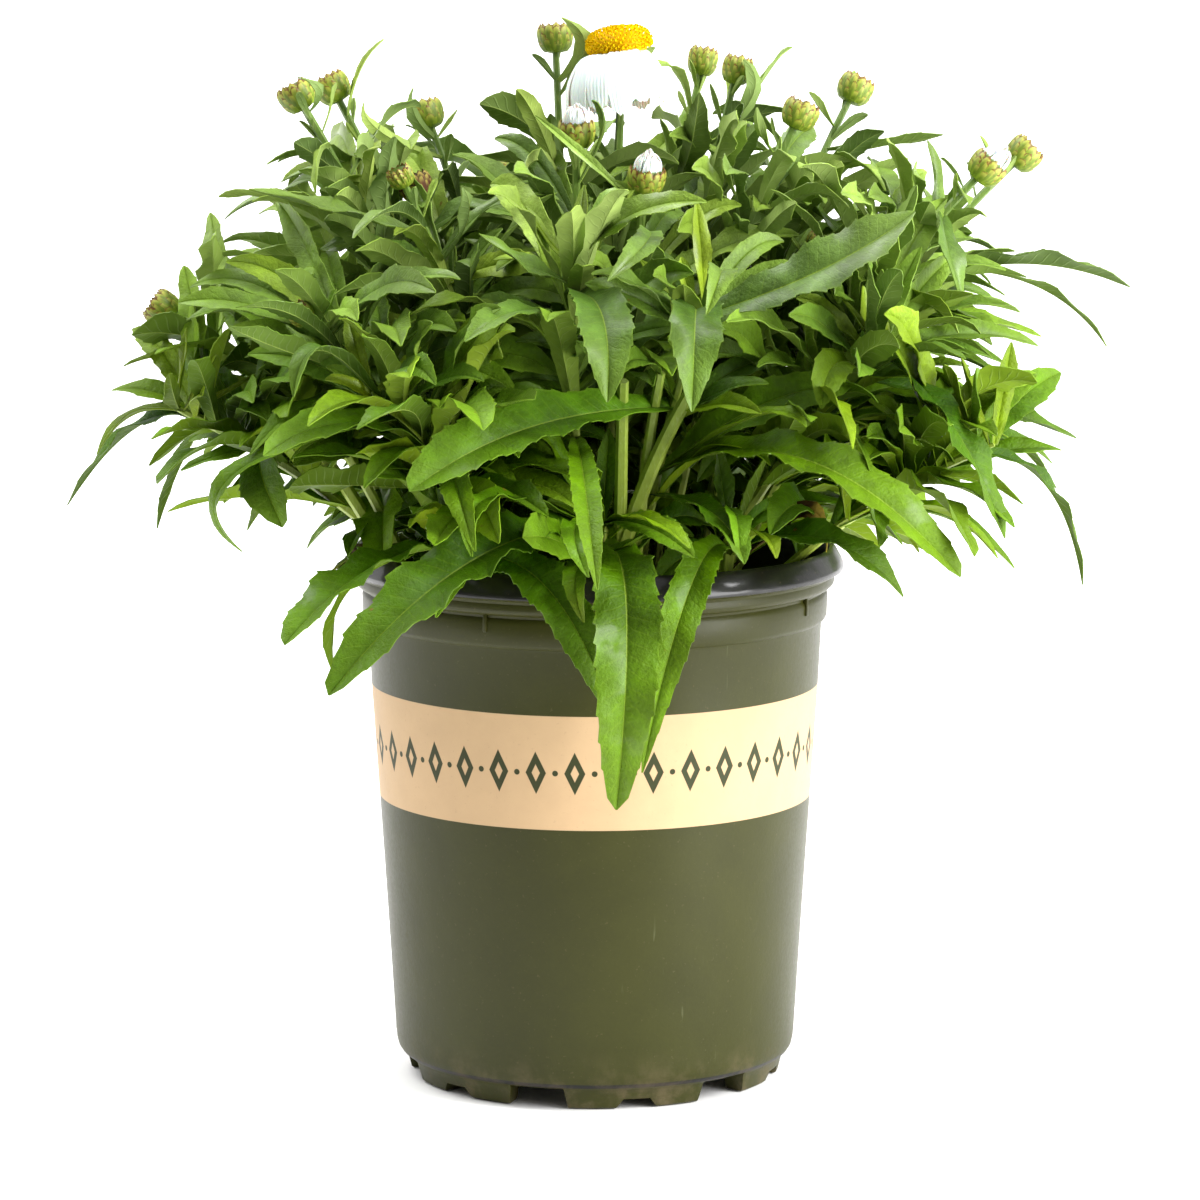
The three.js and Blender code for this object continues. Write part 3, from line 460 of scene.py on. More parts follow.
def veining_group():
    group, given, out = new_group(
        "veining",
        [("Along", FLOAT), ("Across", FLOAT), ("Count", FLOAT), ("Wobble", FLOAT)],
        [("Midrib", FLOAT), ("Veins", FLOAT), ("Margin", FLOAT)])
    off = calc(group, "ABSOLUTE", given.outputs["Across"])
    narrow = calc(group, "MULTIPLY_ADD", given.outputs["Along"], -0.06, 0.11)
    feed(group, inverse(group, ramp(group, off, 0.02, narrow)), out.inputs["Midrib"])
    run = times(group, given.outputs["Along"], given.outputs["Count"])
    lean = calc(group, "MULTIPLY_ADD", off, -1.5, given.outputs["Wobble"])
    phase = calc(group, "FRACT", calc(group, "ADD", run, calc(group, "ADD", lean, 8.0)))
    away = calc(group, "ABSOLUTE", calc(group, "SUBTRACT", phase, 0.5))
    line = inverse(group, ramp(group, away, 0.02, 0.12))
    fade = ramp(group, off, 1.0, 0.55)
    feed(group, times(group, line, fade), out.inputs["Veins"])
    feed(group, ramp(group, off, 0.9, 1.0), out.inputs["Margin"])
    return group


def dusting_group():
    group, given, out = new_group(
        "dusting",
        [("Colour", COLOUR), ("Place", VECTOR), ("Reach", FLOAT), ("Amount", FLOAT)],
        [("Colour", COLOUR), ("Mask", FLOAT)])
    _, _, z = split(group, given.outputs["Place"])
    low = inverse(group, ramp(group, z, 0.0, given.outputs["Reach"]))
    cloud = ramp(group, noise(group, given.outputs["Place"], 90.0, 5.0, 0.7), 0.42, 0.72)
    specks = ramp(group, noise(group, given.outputs["Place"], 900.0, 2.0, 0.5), 0.66, 0.76)
    both = calc(group, "MAXIMUM", times(group, cloud, low), times(group, specks, 0.35))
    mask = calc(group, "MULTIPLY", both, given.outputs["Amount"], clamp=True)
    feed(group, mixed(group, mask, given.outputs["Colour"], DUST), out.inputs["Colour"])
    feed(group, mask, out.inputs["Mask"])
    return group


mottling = mottling_group()
veining = veining_group()
dusting = dusting_group()
print("three shared effects are built")

# %% [markdown]
# Only the leaves that stand out were placed one by one. A short rule grows all the others: each stem bends
# out from the mix to its head, leaves spring from it in a spiral, and a leaf is kept only where no other leaf
# fills the same space. The solids were made by that rule, so the same rule and the same draws are repeated
# here and give back every leaf's line exactly. The fine leaves can then be laid on those lines, with no
# fitting by eye.

# %% Stems of the plant, in millimetres
BODY_TOP_RADIUS = 75.3
LIP_RADIUS = 82.5
POT_HEIGHT = 177
SOIL_EDGE = 156
SOIL_CROWN = 5
STEM_SINK = 16

# name, where it leaves the mix, where it ends, thickness, number of leaves, what it carries
STEMS = [
    ("bloom_stem", (4, 8), (9, 20, 333), 3.4, 6, "bloom"),
    ("leafy_stem_01", (-8, 17), (-13, 35, 337), 3, 7, "bud"),
    ("leafy_stem_02", (-6, -4), (-6, -10, 308), 3.2, 5, "white_bud"),
    ("leafy_stem_03", (6, -15), (16, -35, 295), 3.4, 6, "white_bud"),
    ("leafy_stem_04", (12, 23), (35, 44, 329), 2.8, 6, "slim_bud"),
    ("leafy_stem_05", (20, 11), (46, 27, 327), 3, 6, "slim_bud"),
    ("leafy_stem_06", (22, -3), (65, 0, 314), 3.2, 6, "bud"),
    ("leafy_stem_07", (32, 20), (85, 45, 320), 3, 7, "bud"),
    ("leafy_stem_08", (40, -8), (124, -10, 298), 3.4, 6, "white_bud"),
    ("leafy_stem_09", (44, 8), (138, 16, 301), 3.2, 6, "bud"),
    ("leafy_stem_10", (-34, -3), (-95, 3, 320), 3.4, 7, "bud"),
    ("leafy_stem_11", (-30, 14), (-85, 31, 321), 3.2, 7, "bud"),
    ("leafy_stem_12", (-18, 26), (-55, 50, 311), 3, 7, "bud"),
    ("leafy_stem_13", (-46, 1), (-138, 0, 252), 3.2, 7, "bud"),
    ("leafy_stem_14", (-21, -12), (-61, -30, 297), 3, 6, "small_bud"),
    ("leafy_stem_15", (-5, -29), (-8, -60, 276), 3.2, 8, "shoot"),
    ("leafy_stem_16", (13, -31), (35, -66, 262), 3.2, 8, "shoot"),
    ("leafy_stem_17", (-33, -20), (-91, -55, 256), 3.2, 7, "small_bud"),
    ("leafy_stem_18", (-22, -34), (-70, -80, 236), 3.2, 8, "shoot"),
    ("leafy_stem_19", (34, -23), (95, -42, 246), 3.4, 6, "shoot"),
    ("leafy_stem_20", (33, 6), (72, 12, 272), 2.8, 5, "small_bud"),
    ("leafy_stem_21", (45, 22), (108, 42, 272), 2.8, 7, "small_bud"),
    ("leafy_stem_22", (-49, -14), (-136, -34, 226), 4, 7, "shoot"),
    ("leafy_stem_23", (50, -20), (128, -52, 216), 3.4, 8, "shoot"),
    ("leafy_stem_24", (-10, 42), (-28, 98, 288), 3.2, 9, "bud"),
    ("leafy_stem_25", (16, 40), (46, 104, 280), 3.2, 9, "shoot"),
    ("leafy_stem_26", (-36, 34), (-98, 80, 266), 3.2, 9, "shoot"),
    ("leafy_stem_27", (40, 38), (102, 88, 262), 3.2, 9, "bud"),
    ("leafy_stem_28", (2, 54), (6, 118, 238), 3.4, 9, "shoot"),
    ("leafy_stem_29", (-22, 5), (-57, 8, 290), 2.6, 4, "withered_head"),
    ("basal_leaves_01", (2, -46), (2, -50, 190), 6, 3, "shoot"),
    ("basal_leaves_02", (-41, -43), (-47, -54, 184), 6, 3, "shoot"),
    ("basal_leaves_03", (42, -44), (44, -47, 186), 6, 4, "shoot"),
]
print(len(STEMS), "stems")

# %% Leaves that were placed one by one
# the stem's place in STEMS, share of its length where the leaf grows, the point its line bends towards, its
# tip, its width, and where it matters its twist in degrees and how much painted light it carries, painted
# shade where it is below nought
PLACED_LEAVES = [
    (31, 0.95, (-72, -100, 190), (-96, -120, 162), 17),
    (30, 0.9, (-44, -110, 206), (-85, -118, 146), 23),
    (31, 0.72, (-16, -112, 196), (2, -124, 138), 16),
    (30, 0.7, (8, -118, 204), (2, -99, 109), 21, 0, -0.12),
    (32, 0.8, (28, -112, 206), (15, -95, 117), 13),
    (16, 0.62, (-20, -104, 232), (-57, -120, 210), 23, 0, 0.3),
    (16, 0.4, (66, -104, 238), (115, -92, 179), 21, 0, 0.05),
    (32, 0.8, (76, -78, 200), (99, -60, 168), 14),
    (19, 0.97, (116, -84, 232), (130, -76, 189), 14),
    (23, 0.94, (152, -38, 212), (160, -20, 166), 9),
    (16, 0.96, (76, -80, 276), (101, -68, 292), 20, 0, -0.25),
    (9, 0.68, (142, -4, 278), (176, 0, 262), 17),
    (21, 0.9, (150, 32, 272), (172, 34, 239), 7),
    (19, 1, (121, -36, 256), (144, -24, 245), 10),
    (22, 0.9, (-148, -24, 232), (-174, -6, 191), 11),
    (22, 0.97, (-150, -30, 230), (-160, -34, 211), 9),
    (13, 0.78, (-137, 26, 214), (-148, 36, 177), 10),
    (18, 0.86, (-140, -98, 214), (-112, -72, 184), 10),
    (14, 0.88, (-62, -64, 300), (-76, -74, 284), 9),
    (17, 0.88, (-96, -86, 270), (-113, -90, 266), 9),
    (17, 0.78, (-92, -80, 258), (-109, -84, 262), 13),
    (13, 0.86, (-136, -16, 252), (-151, -18, 248), 16, 20),
    (18, 0.96, (-90, -108, 268), (-93, -112, 238), 9),
    (18, 0.92, (-58, -112, 258), (-49, -114, 242), 10),
    (18, 0.74, (-53, -108, 242), (-73, -120, 229), 12),
    (15, 0.44, (-4, -126, 232), (1, -150, 189), 9),
    (18, 0.5, (-44, -100, 222), (-36, -112, 187), 10),
    (30, 0.97, (16, -92, 202), (31, -104, 187), 13),
    (16, 0.33, (42, -92, 204), (47, -98, 184), 12),
    (19, 0.5, (60, -92, 232), (66, -100, 226), 10),
    (22, 0.74, (-108, -60, 212), (-100, -58, 190), 16),
    (17, 0.36, (-80, -66, 206), (-96, -76, 206), 17, 40),
    (15, 0.78, (-22, -104, 270), (-40, -110, 255), 11),
    (15, 0.88, (6, -112, 274), (4, -118, 237), 17, 0, -0.12),
    (16, 0.9, (34, -112, 280), (30, -118, 234), 17, 0, -0.1),
    (15, 0.95, (8, -76, 300), (35, -82, 296), 10),
    (14, 0.78, (-36, -62, 290), (-42, -62, 299), 9),
    (15, 0.92, (-22, -84, 276), (-36, -82, 286), 9),
    (3, 0.88, (24, -88, 292), (4, -98, 273), 9),
    (16, 0.98, (46, -88, 290), (36, -98, 263), 9),
    (4, 0.76, (30, 6, 306), (31, -2, 327), 11),
    (1, 0.78, (-22, 16, 316), (-36, 16, 319), 13),
    (7, 0.88, (98, 34, 306), (116, 32, 310), 7),
    (8, 0.86, (118, -8, 294), (112, -4, 310), 9),
    (8, 0.9, (112, -36, 282), (118, -38, 262), 11),
    (19, 0.9, (74, -62, 250), (72, -66, 229), 12),
    (19, 0.86, (126, -30, 228), (157, -24, 215), 11),
    (23, 0.75, (130, -14, 226), (151, -2, 204), 10),
    (9, 0.5, (134, 26, 222), (155, 26, 192), 10),
    (10, 0.84, (-92, -4, 308), (-98, -8, 310), 9),
    (14, 0.86, (-74, -46, 292), (-108, -44, 300), 11),
    (28, 0.9, (10, 152, 246), (4, 158, 190), 14),
]
print(len(PLACED_LEAVES), "leaves were placed")

# %% The line of a stem and of a leaf
LEAF_FOLD = 17  # degrees that each half of a blade is folded up
ROOT_SHARE = 0.2  # of the width, at the root
WIDEST = 0.58  # share of the length
FACE_OUT = 0.9  # how far a leaf's face turns outwards from straight up
STEM_PULL_OUT, STEM_PULL_UP = 0.36, 0.6  # where the point lies that a stem bends towards


def on_bend(start, pull, end, share):
    """Points and directions on the curve from start to end that is pulled towards a third point."""
    share = np.asarray(share, float)[..., None]
    start, pull, end = (np.asarray(p, float) for p in (start, pull, end))
    point = (1 - share) ** 2 * start + 2 * share * (1 - share) * pull + share * share * end
    way = (1 - share) * (pull - start) + share * (end - pull)
    return point, way / np.linalg.norm(way, axis=-1, keepdims=True)


def soil_height(x, y):
    return SOIL_EDGE + SOIL_CROWN * (1 - (np.hypot(x, y) / BODY_TOP_RADIUS) ** 2)


def between(low, high, share):
    return low + (high - low) * share


def stem_line(stem):
    _, (x, y), (hx, hy, hz) = stem[:3]
    foot = (x, y, soil_height(x, y))
    pull = (between(x, hx, STEM_PULL_OUT), between(y, hy, STEM_PULL_OUT), between(foot[2], hz, STEM_PULL_UP))
    return foot, pull, stem[2]


def on_stem(stem, share):
    return on_bend(*stem_line(stem), share)


def half_width(leaf, share):
    grown = ROOT_SHARE + (1 - ROOT_SHARE) * np.sin(np.minimum(share / WIDEST, 1) * np.pi / 2)
    past = np.maximum(0, (share - WIDEST) / (1 - WIDEST))
    return leaf["width"] / 2 * grown * np.maximum(0, np.cos(past * np.pi / 2)) ** 0.7


def level_frame(leaf, along):
    heading = math.atan2(leaf["tip"][1] - leaf["root"][1], leaf["tip"][0] - leaf["root"][0])
    level = np.array([-math.sin(heading), math.cos(heading), 0])
    return level, np.cross(along, level)


def outward_roll(leaf):
    """Degrees the leaf rolls about its line so that its upper face looks outwards from the plant."""
    point, along = on_bend(leaf["root"], leaf["bend"], leaf["tip"], 0.5)
    level, upright = level_frame(leaf, along)
    radius = math.hypot(point[0], point[1])
    facing = np.array([FACE_OUT * point[0] / radius, FACE_OUT * point[1] / radius, 1])
    facing /= np.linalg.norm(facing)
    return math.degrees(math.atan2(-facing @ level, max(0.3, facing @ upright)))


def leaf_frame(leaf, share):
    """Points on the leaf's midrib with the directions across it and up from it."""
    point, along = on_bend(leaf["root"], leaf["bend"], leaf["tip"], share)
    level, upright = level_frame(leaf, along)
    turn = np.radians(leaf["roll"] + leaf["twist"] * np.asarray(share))[..., None]
    side = level * np.cos(turn) + upright * np.sin(turn)
    up = upright * np.cos(turn) - level * np.sin(turn)
    return point, side, up


def blade_samples(leaf, spacing, zone):
    """Points all over a blade, and which of them are so near its root that it may touch its own stem."""
    span = np.linalg.norm(leaf["tip"] - leaf["root"]) * 1.15
    rows = math.ceil(span / spacing)
    columns = math.ceil(leaf["width"] / 2 / spacing)
    share = np.arange(rows + 1) / rows
    across = (np.arange(-columns, columns + 1) / columns)[None, :, None]
    point, side, up = leaf_frame(leaf, share)
    reach = half_width(leaf, share)[:, None, None]
    fold = math.radians(LEAF_FOLD)
    points = point[:, None] + side[:, None] * across * reach * math.cos(fold)
    points = points + up[:, None] * np.abs(across) * reach * math.sin(fold)
    near_root = np.repeat(share * span < zone, 2 * columns + 1)
    return points.reshape(-1, 3), near_root


print("stems end", min(stem[2][2] for stem in STEMS), "to", max(stem[2][2] for stem in STEMS), "mm up")

# %% Space that is taken
EMPTY = -2
SHARED = -1
HEAD_OWNER = 1000
CELL_SHIFT = 0.137
SPACE_HALF = 250  # the map reaches this far from the pot's axis
BESIDE_LIP, OVER_LIP, OVER_MIX = 3.5, 3, 4  # room between a leaf and the pot
INSIDE_LIP = 73


class Space:
    """Small cells of space, each marked with the stem whose growth fills it."""

    def __init__(self, cell, spread, leeway=0.0):
        self.cell = cell
        self.leeway = leeway  # share of a blade that may cut through others
        self.middle = int(SPACE_HALF / cell)
        self.marks = np.full((2 * self.middle,) * 3, EMPTY, np.int16)
        self.steps = [(a, b, c) for a in spread for b in spread for c in spread]

    def cells(self, points):
        nearest = np.floor((points + CELL_SHIFT) / self.cell).astype(int)
        return nearest + np.array([self.middle, self.middle, 0])

    def claim(self, points, owner):
        cells = np.unique(self.cells(points), axis=0)
        for step in self.steps:
            at = tuple((cells + step).T)
            before = self.marks[at]
            self.marks[at] = np.where((before == EMPTY) | (before == owner), owner, SHARED)

    def admits(self, points, near_root, owner):
        holder = self.marks[tuple(self.cells(points).T)]
        barred = (holder != EMPTY) & ~(near_root & (holder == owner))
        return bool(np.mean(barred) <= self.leeway)


def clear_of_pot(points):
    radius = np.hypot(points[:, 0], points[:, 1])
    over_mix = soil_height(points[:, 0], points[:, 1]) + OVER_MIX
    lowest = np.where(radius < INSIDE_LIP, over_mix, POT_HEIGHT + OVER_LIP)
    return bool(np.all((radius >= LIP_RADIUS + BESIDE_LIP) | (points[:, 2] > lowest)))


# the plant's outer form: half its width and depth, where it is widest, and its rise and drop from there
MOUND = {"width": 168, "depth": 146, "middle": 185, "rise": 142, "drop": 30}


def inside_mound(point):
    out = math.hypot(point[0] / MOUND["width"], point[1] / MOUND["depth"])
    up = (point[2] - MOUND["middle"]) / (MOUND["rise"] if point[2] > MOUND["middle"] else MOUND["drop"])
    return out ** 3 + up * up < 1


print("leaf tips stay within", 2 * MOUND["width"], "by", 2 * MOUND["depth"], "mm")

# %% The rules that grow leaves
GOLDEN_ANGLE = 137.508
LOW_LEAF = 70  # length low on a stem
HIGH_LEAF = 38  # and near its top
LEAF_SLIMNESS = 0.25
TUFT_LEAF = 27
TUFT_LEAVES = 4
TRIES = 40
RANDOM_MULTIPLIER = 48271
RANDOM_MODULUS = 2147483647


def seeded_draws(seed):
    """A row of draws between nought and one, the same each time for the same seed."""
    state = seed % (RANDOM_MODULUS - 1) + 1

    def draw():
        nonlocal state
        state = state * RANDOM_MULTIPLIER % RANDOM_MODULUS
        return state / RANDOM_MODULUS

    draw()
    draw()
    return draw


def rolled(leaf):
    leaf["roll"] = outward_roll(leaf)
    return leaf


def leaf_from(stem, share, azimuth, span, slope, arch, slimness, twist):
    """A leaf from a point of a stem: span long, rising at the slope and arched."""
    point, along = on_stem(stem, share)
    out = np.array([math.cos(azimuth), math.sin(azimuth), 0])
    root = point + out * 0.3
    run = np.array([out[0] * math.cos(slope), out[1] * math.cos(slope), math.sin(slope)])
    tip = root + run * span + along * span * 0.1
    bend = (root + tip) / 2 + np.array([out[0] * 2, out[1] * 2, arch * span])
    leaf = {"root": root, "bend": bend, "tip": tip, "width": span * slimness, "twist": twist, "share": share}
    return rolled(leaf)


def ruled_leaf(stem, index, i, attempt, draw):
    """A large leaf. Later attempts turn further from the spiral and are shorter."""
    lowest = 0.5 if stem[0].startswith("basal") else 0.14
    highest = 0.9 if stem[5] == "shoot" else 0.86
    share = between(highest, lowest, (i + 0.5) / stem[4]) + (draw() - 0.5) * 0.05
    spiral = math.radians(index * 77 + i * GOLDEN_ANGLE)
    point, _ = on_stem(stem, share)
    late = attempt / TRIES
    if late < 0.5:
        azimuth = spiral + math.radians((draw() - 0.5) * (60 + 200 * late))
    else:
        azimuth = math.atan2(point[1], point[0]) + math.radians((draw() - 0.5) * 260)
    span = between(LOW_LEAF, HIGH_LEAF, share) * (0.85 + 0.3 * draw()) * (1 - 0.4 * late)
    slope = math.radians(between(-16, 42, share) + (draw() - 0.5) * 40)
    arch = 0.22 + 0.3 * draw()
    slimness = LEAF_SLIMNESS * (0.9 + 0.35 * draw())
    return leaf_from(stem, share, azimuth, span, slope, arch, slimness, (draw() - 0.5) * 50)


def placed_leaf(stem, index, i, attempt, draw):
    """A placed leaf. Where its way is barred, it shifts a little, most of all forwards or back."""
    row = PLACED_LEAVES[i]
    reach = attempt * 0.3
    shift = np.array([(draw() - 0.5) * reach, (draw() - 0.5) * reach * 3, (draw() - 0.5) * reach])
    leaf = {
        "root": on_stem(stem, row[1])[0],
        "bend": np.array(row[2], float) + shift * 1.5,
        "tip": np.array(row[3], float) + shift,
        "width": row[4],
        "twist": row[5] if len(row) > 5 else 0,
        "light": row[6] if len(row) > 6 else 0,
        "share": row[1],
        "placed": True,
    }
    return rolled(leaf)


def tuft_leaf(stem, index, i, attempt, draw):
    """One of the short, steep leaves round the tip of a shoot."""
    azimuth = math.radians(index * 50 + i * GOLDEN_ANGLE + (draw() - 0.5) * (30 + attempt * 6))
    span = TUFT_LEAF * (0.8 + 0.4 * draw())
    slope = math.radians(74 - i * 7 - attempt + (draw() - 0.5) * 10)
    leaf = leaf_from(stem, 1 - 0.012 * i, azimuth, span, slope, 0.02, 0.26, (draw() - 0.5) * 30)
    leaf["tuft"] = True
    return leaf


# %% Grow the leaves of the solids again
# radius and height of each kind of head
HEAD_SIZES = {
    "bud": (6.2, 8.6), "white_bud": (6.4, 9), "slim_bud": (5, 8.4), "small_bud": (4.2, 6),
    "withered_head": (5.4, 8), "bloom": (10.6, 7),
}
CELL = 2.5
SAMPLE = 1.8
ROOT_ZONE = 8  # near its root a leaf may touch its own stem
PLACED_ROOT_ZONE = 16
PLACED_SEEDS, TUFT_SEEDS, RULED_SEEDS = 300, 500, 5000


def head_samples(stem):
    radius = HEAD_SIZES[stem[5]][0]
    spread = 26 if stem[5] == "bloom" else radius + 2
    lowest = -16 if stem[5] == "bloom" else 0
    ways = np.arange(12) * np.pi / 6
    rings = np.arange(0, spread + 1e-9, 2.5)
    heights = np.arange(lowest, radius * 2 + 6 - 1e-9, 2.5)
    way, ring, up = (grid.ravel() for grid in np.meshgrid(ways, rings, heights, indexing="ij"))
    return np.stack([ring * np.cos(way), ring * np.sin(way), up], axis=1) + np.array(stem[2], float)


def claim_stems(space):
    for owner, stem in enumerate(STEMS):
        space.claim(on_stem(stem, np.arange(61) / 60)[0], owner)
        if stem[5] != "shoot":
            space.claim(head_samples(stem), HEAD_OWNER)


def try_to_grow(space, leaves, rule, owner, i, seed):
    draw = seeded_draws(seed)
    for attempt in range(TRIES):
        leaf = rule(STEMS[owner], owner, i, attempt, draw)
        placed = leaf.get("placed", False)
        if not placed and not inside_mound(leaf["tip"]):
            continue
        points, near_root = blade_samples(leaf, SAMPLE, PLACED_ROOT_ZONE if placed else ROOT_ZONE)
        if space.admits(points, near_root, owner) and clear_of_pot(points):
            space.claim(points, owner)
            leaf["owner"] = owner
            leaves.append(leaf)
            return


def grow_solid_leaves():
    space = Space(CELL, (-1, 0, 1))
    claim_stems(space)
    leaves = []
    for i, row in enumerate(PLACED_LEAVES):
        try_to_grow(space, leaves, placed_leaf, row[0], i, PLACED_SEEDS + i)
    for owner, stem in enumerate(STEMS):
        for i in range(TUFT_LEAVES if stem[5] == "shoot" else 0):
            try_to_grow(space, leaves, tuft_leaf, owner, i, TUFT_SEEDS + 40 * owner + i)
    for i in range(max(stem[4] for stem in STEMS)):
        for owner, stem in enumerate(STEMS):
            if i < stem[4]:
                try_to_grow(space, leaves, ruled_leaf, owner, i, RULED_SEEDS + 100 * owner + i)
    return leaves


solid_leaves = grow_solid_leaves()
print(len(solid_leaves), "leaves follow the solids")

# %% [markdown]
# The solids hold every large leaf, but a real plant is fuller: slim leaves stand on its outer stems, smaller
# ones fill the inside, low ones hide the mix, and leaflets sit in the corners where leaves leave their stems.
# They are grown by the same kind of rule in a finer space map, where a tenth of a blade at most may cut
# through others. A few clearings are kept at the front, where the bare mix and the stems show.

# %% Rules for the small leaves
BARE_UNDER_BUD = 0.76  # share of a flower stem's length above which no small leaf grows


def inner_leaf(stem, index, i, attempt, draw):
    """A slim leaf anywhere on a stem."""
    share = 0.1 + (0.84 if stem[5] == "shoot" else BARE_UNDER_BUD - 0.1) * draw()
    point, _ = on_stem(stem, share)
    late = attempt / TRIES
    azimuth = math.atan2(point[1], point[0]) + math.radians((draw() - 0.5) * 300)
    span = between(66, 42, share) * (0.75 + 0.45 * draw()) * (1 - 0.3 * late)
    slope = math.radians(between(-18, 46, share) + (draw() - 0.5) * 50)
    arch = 0.16 + 0.3 * draw()
    slimness = 0.2 + 0.09 * draw()
    return leaf_from(stem, share, azimuth, span, slope, arch, slimness, (draw() - 0.5) * 110)


def outer_leaf(stem, index, i, attempt, draw):
    """A slim leaf on the upper half of a stem that leans outwards."""
    share = 0.4 + 0.56 * draw()
    point, _ = on_stem(stem, share)
    azimuth = math.atan2(point[1], point[0]) + math.radians((draw() - 0.5) * 240)
    span = between(66, 42, draw()) * (1 - 0.3 * attempt / TRIES)
    slope = math.radians(between(-6, 34, share) + (draw() - 0.5) * 60)
    slimness = 0.19 + 0.09 * draw()
    return leaf_from(stem, share, azimuth, span, slope, 0.14 + 0.3 * draw(), slimness, (draw() - 0.5) * 80)


def low_leaf(stem, index, i, attempt, draw):
    """A leaf close over the mix, where the foot of the plant is dark and full."""
    share = 0.06 + 0.26 * draw()
    point, _ = on_stem(stem, share)
    azimuth = math.atan2(point[1], point[0]) + math.radians((draw() - 0.5) * 280)
    span = 36 + 26 * draw()
    slope = math.radians(-6 + 44 * draw())
    return leaf_from(stem, share, azimuth, span, slope, 0.14 + 0.2 * draw(), 0.22, (draw() - 0.5) * 80)


def axil_leaf(stem, index, i, attempt, draw):
    """A leaflet in the corner between a leaf and its stem."""
    share = 0.2 + (0.74 if stem[5] == "shoot" else BARE_UNDER_BUD - 0.2) * draw()
    azimuth = math.radians(360 * draw())
    span = 13 + 14 * draw()
    slope = math.radians(20 + 55 * draw())
    slimness = 0.26 + 0.1 * draw()
    return leaf_from(stem, share, azimuth, span, slope, 0.1 + 0.2 * draw(), slimness, (draw() - 0.5) * 60)


# %% Grow the small leaves
FINE_CELL = 1.6
FINE_SAMPLE = 1.3
LEEWAY = 0.1  # share of a small leaf that may cut through others
OUTER_FROM = 85  # stems that lean out further than this carry more leaves
# clearings at the front, as low and high x, and low and high z: bare mix at the right, stems in the middle
# and at the left
CLEARINGS = [(20, 84, 150, 207), (0, 34, 196, 234), (-104, -72, 160, 202)]
CLEARINGS_BACK = 10  # they reach from the front to this y
everyone = range(len(STEMS))
outer_stems = [owner for owner in everyone if np.hypot(*STEMS[owner][2][:2]) > OUTER_FROM]
# rule, the stems it runs on, how often on each, first seed
SMALL_LEAVES = [
    (outer_leaf, outer_stems, 22, 30000), (inner_leaf, everyone, 17, 20000),
    (low_leaf, everyone, 7, 50000), (axil_leaf, everyone, 5, 40000),
]


def in_clearing(leaf):
    """Whether the outer part of a leaf reaches into one of the clearings."""
    points, _ = on_bend(leaf["root"], leaf["bend"], leaf["tip"], np.linspace(0.4, 1, 4))
    x, y, z = points.T
    front = y < CLEARINGS_BACK
    return any(np.any(front & (x > x0) & (x < x1) & (z > z0) & (z < z1)) for x0, x1, z0, z1 in CLEARINGS)


def grow_small_leaves():
    space = Space(FINE_CELL, (0,), LEEWAY)
    claim_stems(space)
    for leaf in solid_leaves:
        space.claim(blade_samples(leaf, FINE_SAMPLE, ROOT_ZONE)[0], leaf["owner"])
    leaves = []
    for rule, owners, count, first_seed in SMALL_LEAVES:
        for i in range(count):
            for owner in owners:
                try_to_grow(space, leaves, rule, owner, i, first_seed + 50 * owner + i)
    return [leaf for leaf in leaves if not in_clearing(leaf)]


small_leaves = grow_small_leaves()
print(len(small_leaves), "small leaves fill the bush")

# %% Slim leaves added one by one where the photograph shows them
# the stem's place in STEMS, share of its length where the leaf grows, the point its line bends towards, its
# tip, its width, its twist, and how dry it is
SEEN_LEAVES = [
    (30, 0.9, (-44, -116, 222), (-38, -118, 189), 9, 0, 0),
    (30, 0.95, (-14, -122, 207), (-2, -122, 183), 9, 0, 0),
    (30, 0.6, (-9, -106, 190), (-4, -104, 166), 8, 20, 0.1),
    (30, 0.98, (14, -112, 206), (30, -112, 191), 10, -30, 0),
    (32, 0.9, (42, -98, 212), (46, -96, 185), 9, 0, 0),
    (32, 0.7, (53, -86, 200), (58, -86, 184), 8, 0, 0.1),
    (16, 0.4, (57, -86, 240), (67, -86, 226), 8, 0, 0),
    (18, 0.2, (-88, -40, 190), (-89, -40, 162), 5, 40, 0.4),
    (18, 0.3, (-96, -50, 180), (-83, -50, 138), 8, 60, 0),
    (32, 0.5, (71, -58, 206), (73, -58, 189), 7, 50, 1),
    (32, 0.55, (75, -58, 204), (75, -58, 182), 5, -40, 0.75),
    (1, 0.93, (4, 22, 342), (-11, 24, 349), 9, 0, 0),
    (11, 0.96, (-80, 18, 334), (-70, 24, 342), 6, 50, 0),
    (4, 0.9, (31, 30, 337), (18, 30, 333), 8, -40, 0),
    (5, 0.88, (60, 18, 327), (49, 22, 335), 9, 30, 0),
    (5, 0.84, (59, 24, 336), (65, 26, 340), 6, 60, 0),
    (6, 0.92, (53, -10, 311), (53, -6, 321), 6, 60, 0),
    (3, 0.95, (-4, -37, 310), (-19, -34, 320), 4.5, -20, 0),
    (2, 0.9, (8, -20, 318), (-1, -17, 324), 6, 60, 0),
    (12, 0.92, (-76, 4, 309), (-77, 4, 322), 6, 60, 0),
    (10, 0.9, (-90, -16, 312), (-91, -18, 294), 10, 20, 0),
    (10, 0.99, (-83, -10, 328), (-97, -10, 331), 7, 60, 0),
    (12, 0.97, (-64, 38, 316), (-61, 40, 325), 7, 60, 0),
]


def seen_leaf(row):
    owner, share, bend, tip, width, twist, dry = row
    return rolled({
        "root": on_stem(STEMS[owner], share)[0], "bend": np.array(bend, float), "tip": np.array(tip, float),
        "width": width, "twist": twist, "dry": dry, "share": share, "owner": owner,
    })


small_leaves += [seen_leaf(row) for row in SEEN_LEAVES]
print(len(SEEN_LEAVES), "seen leaves were added")

# %% Leaflets close under each head
BRACTS = 3
BRACT_SEEDS = 70000


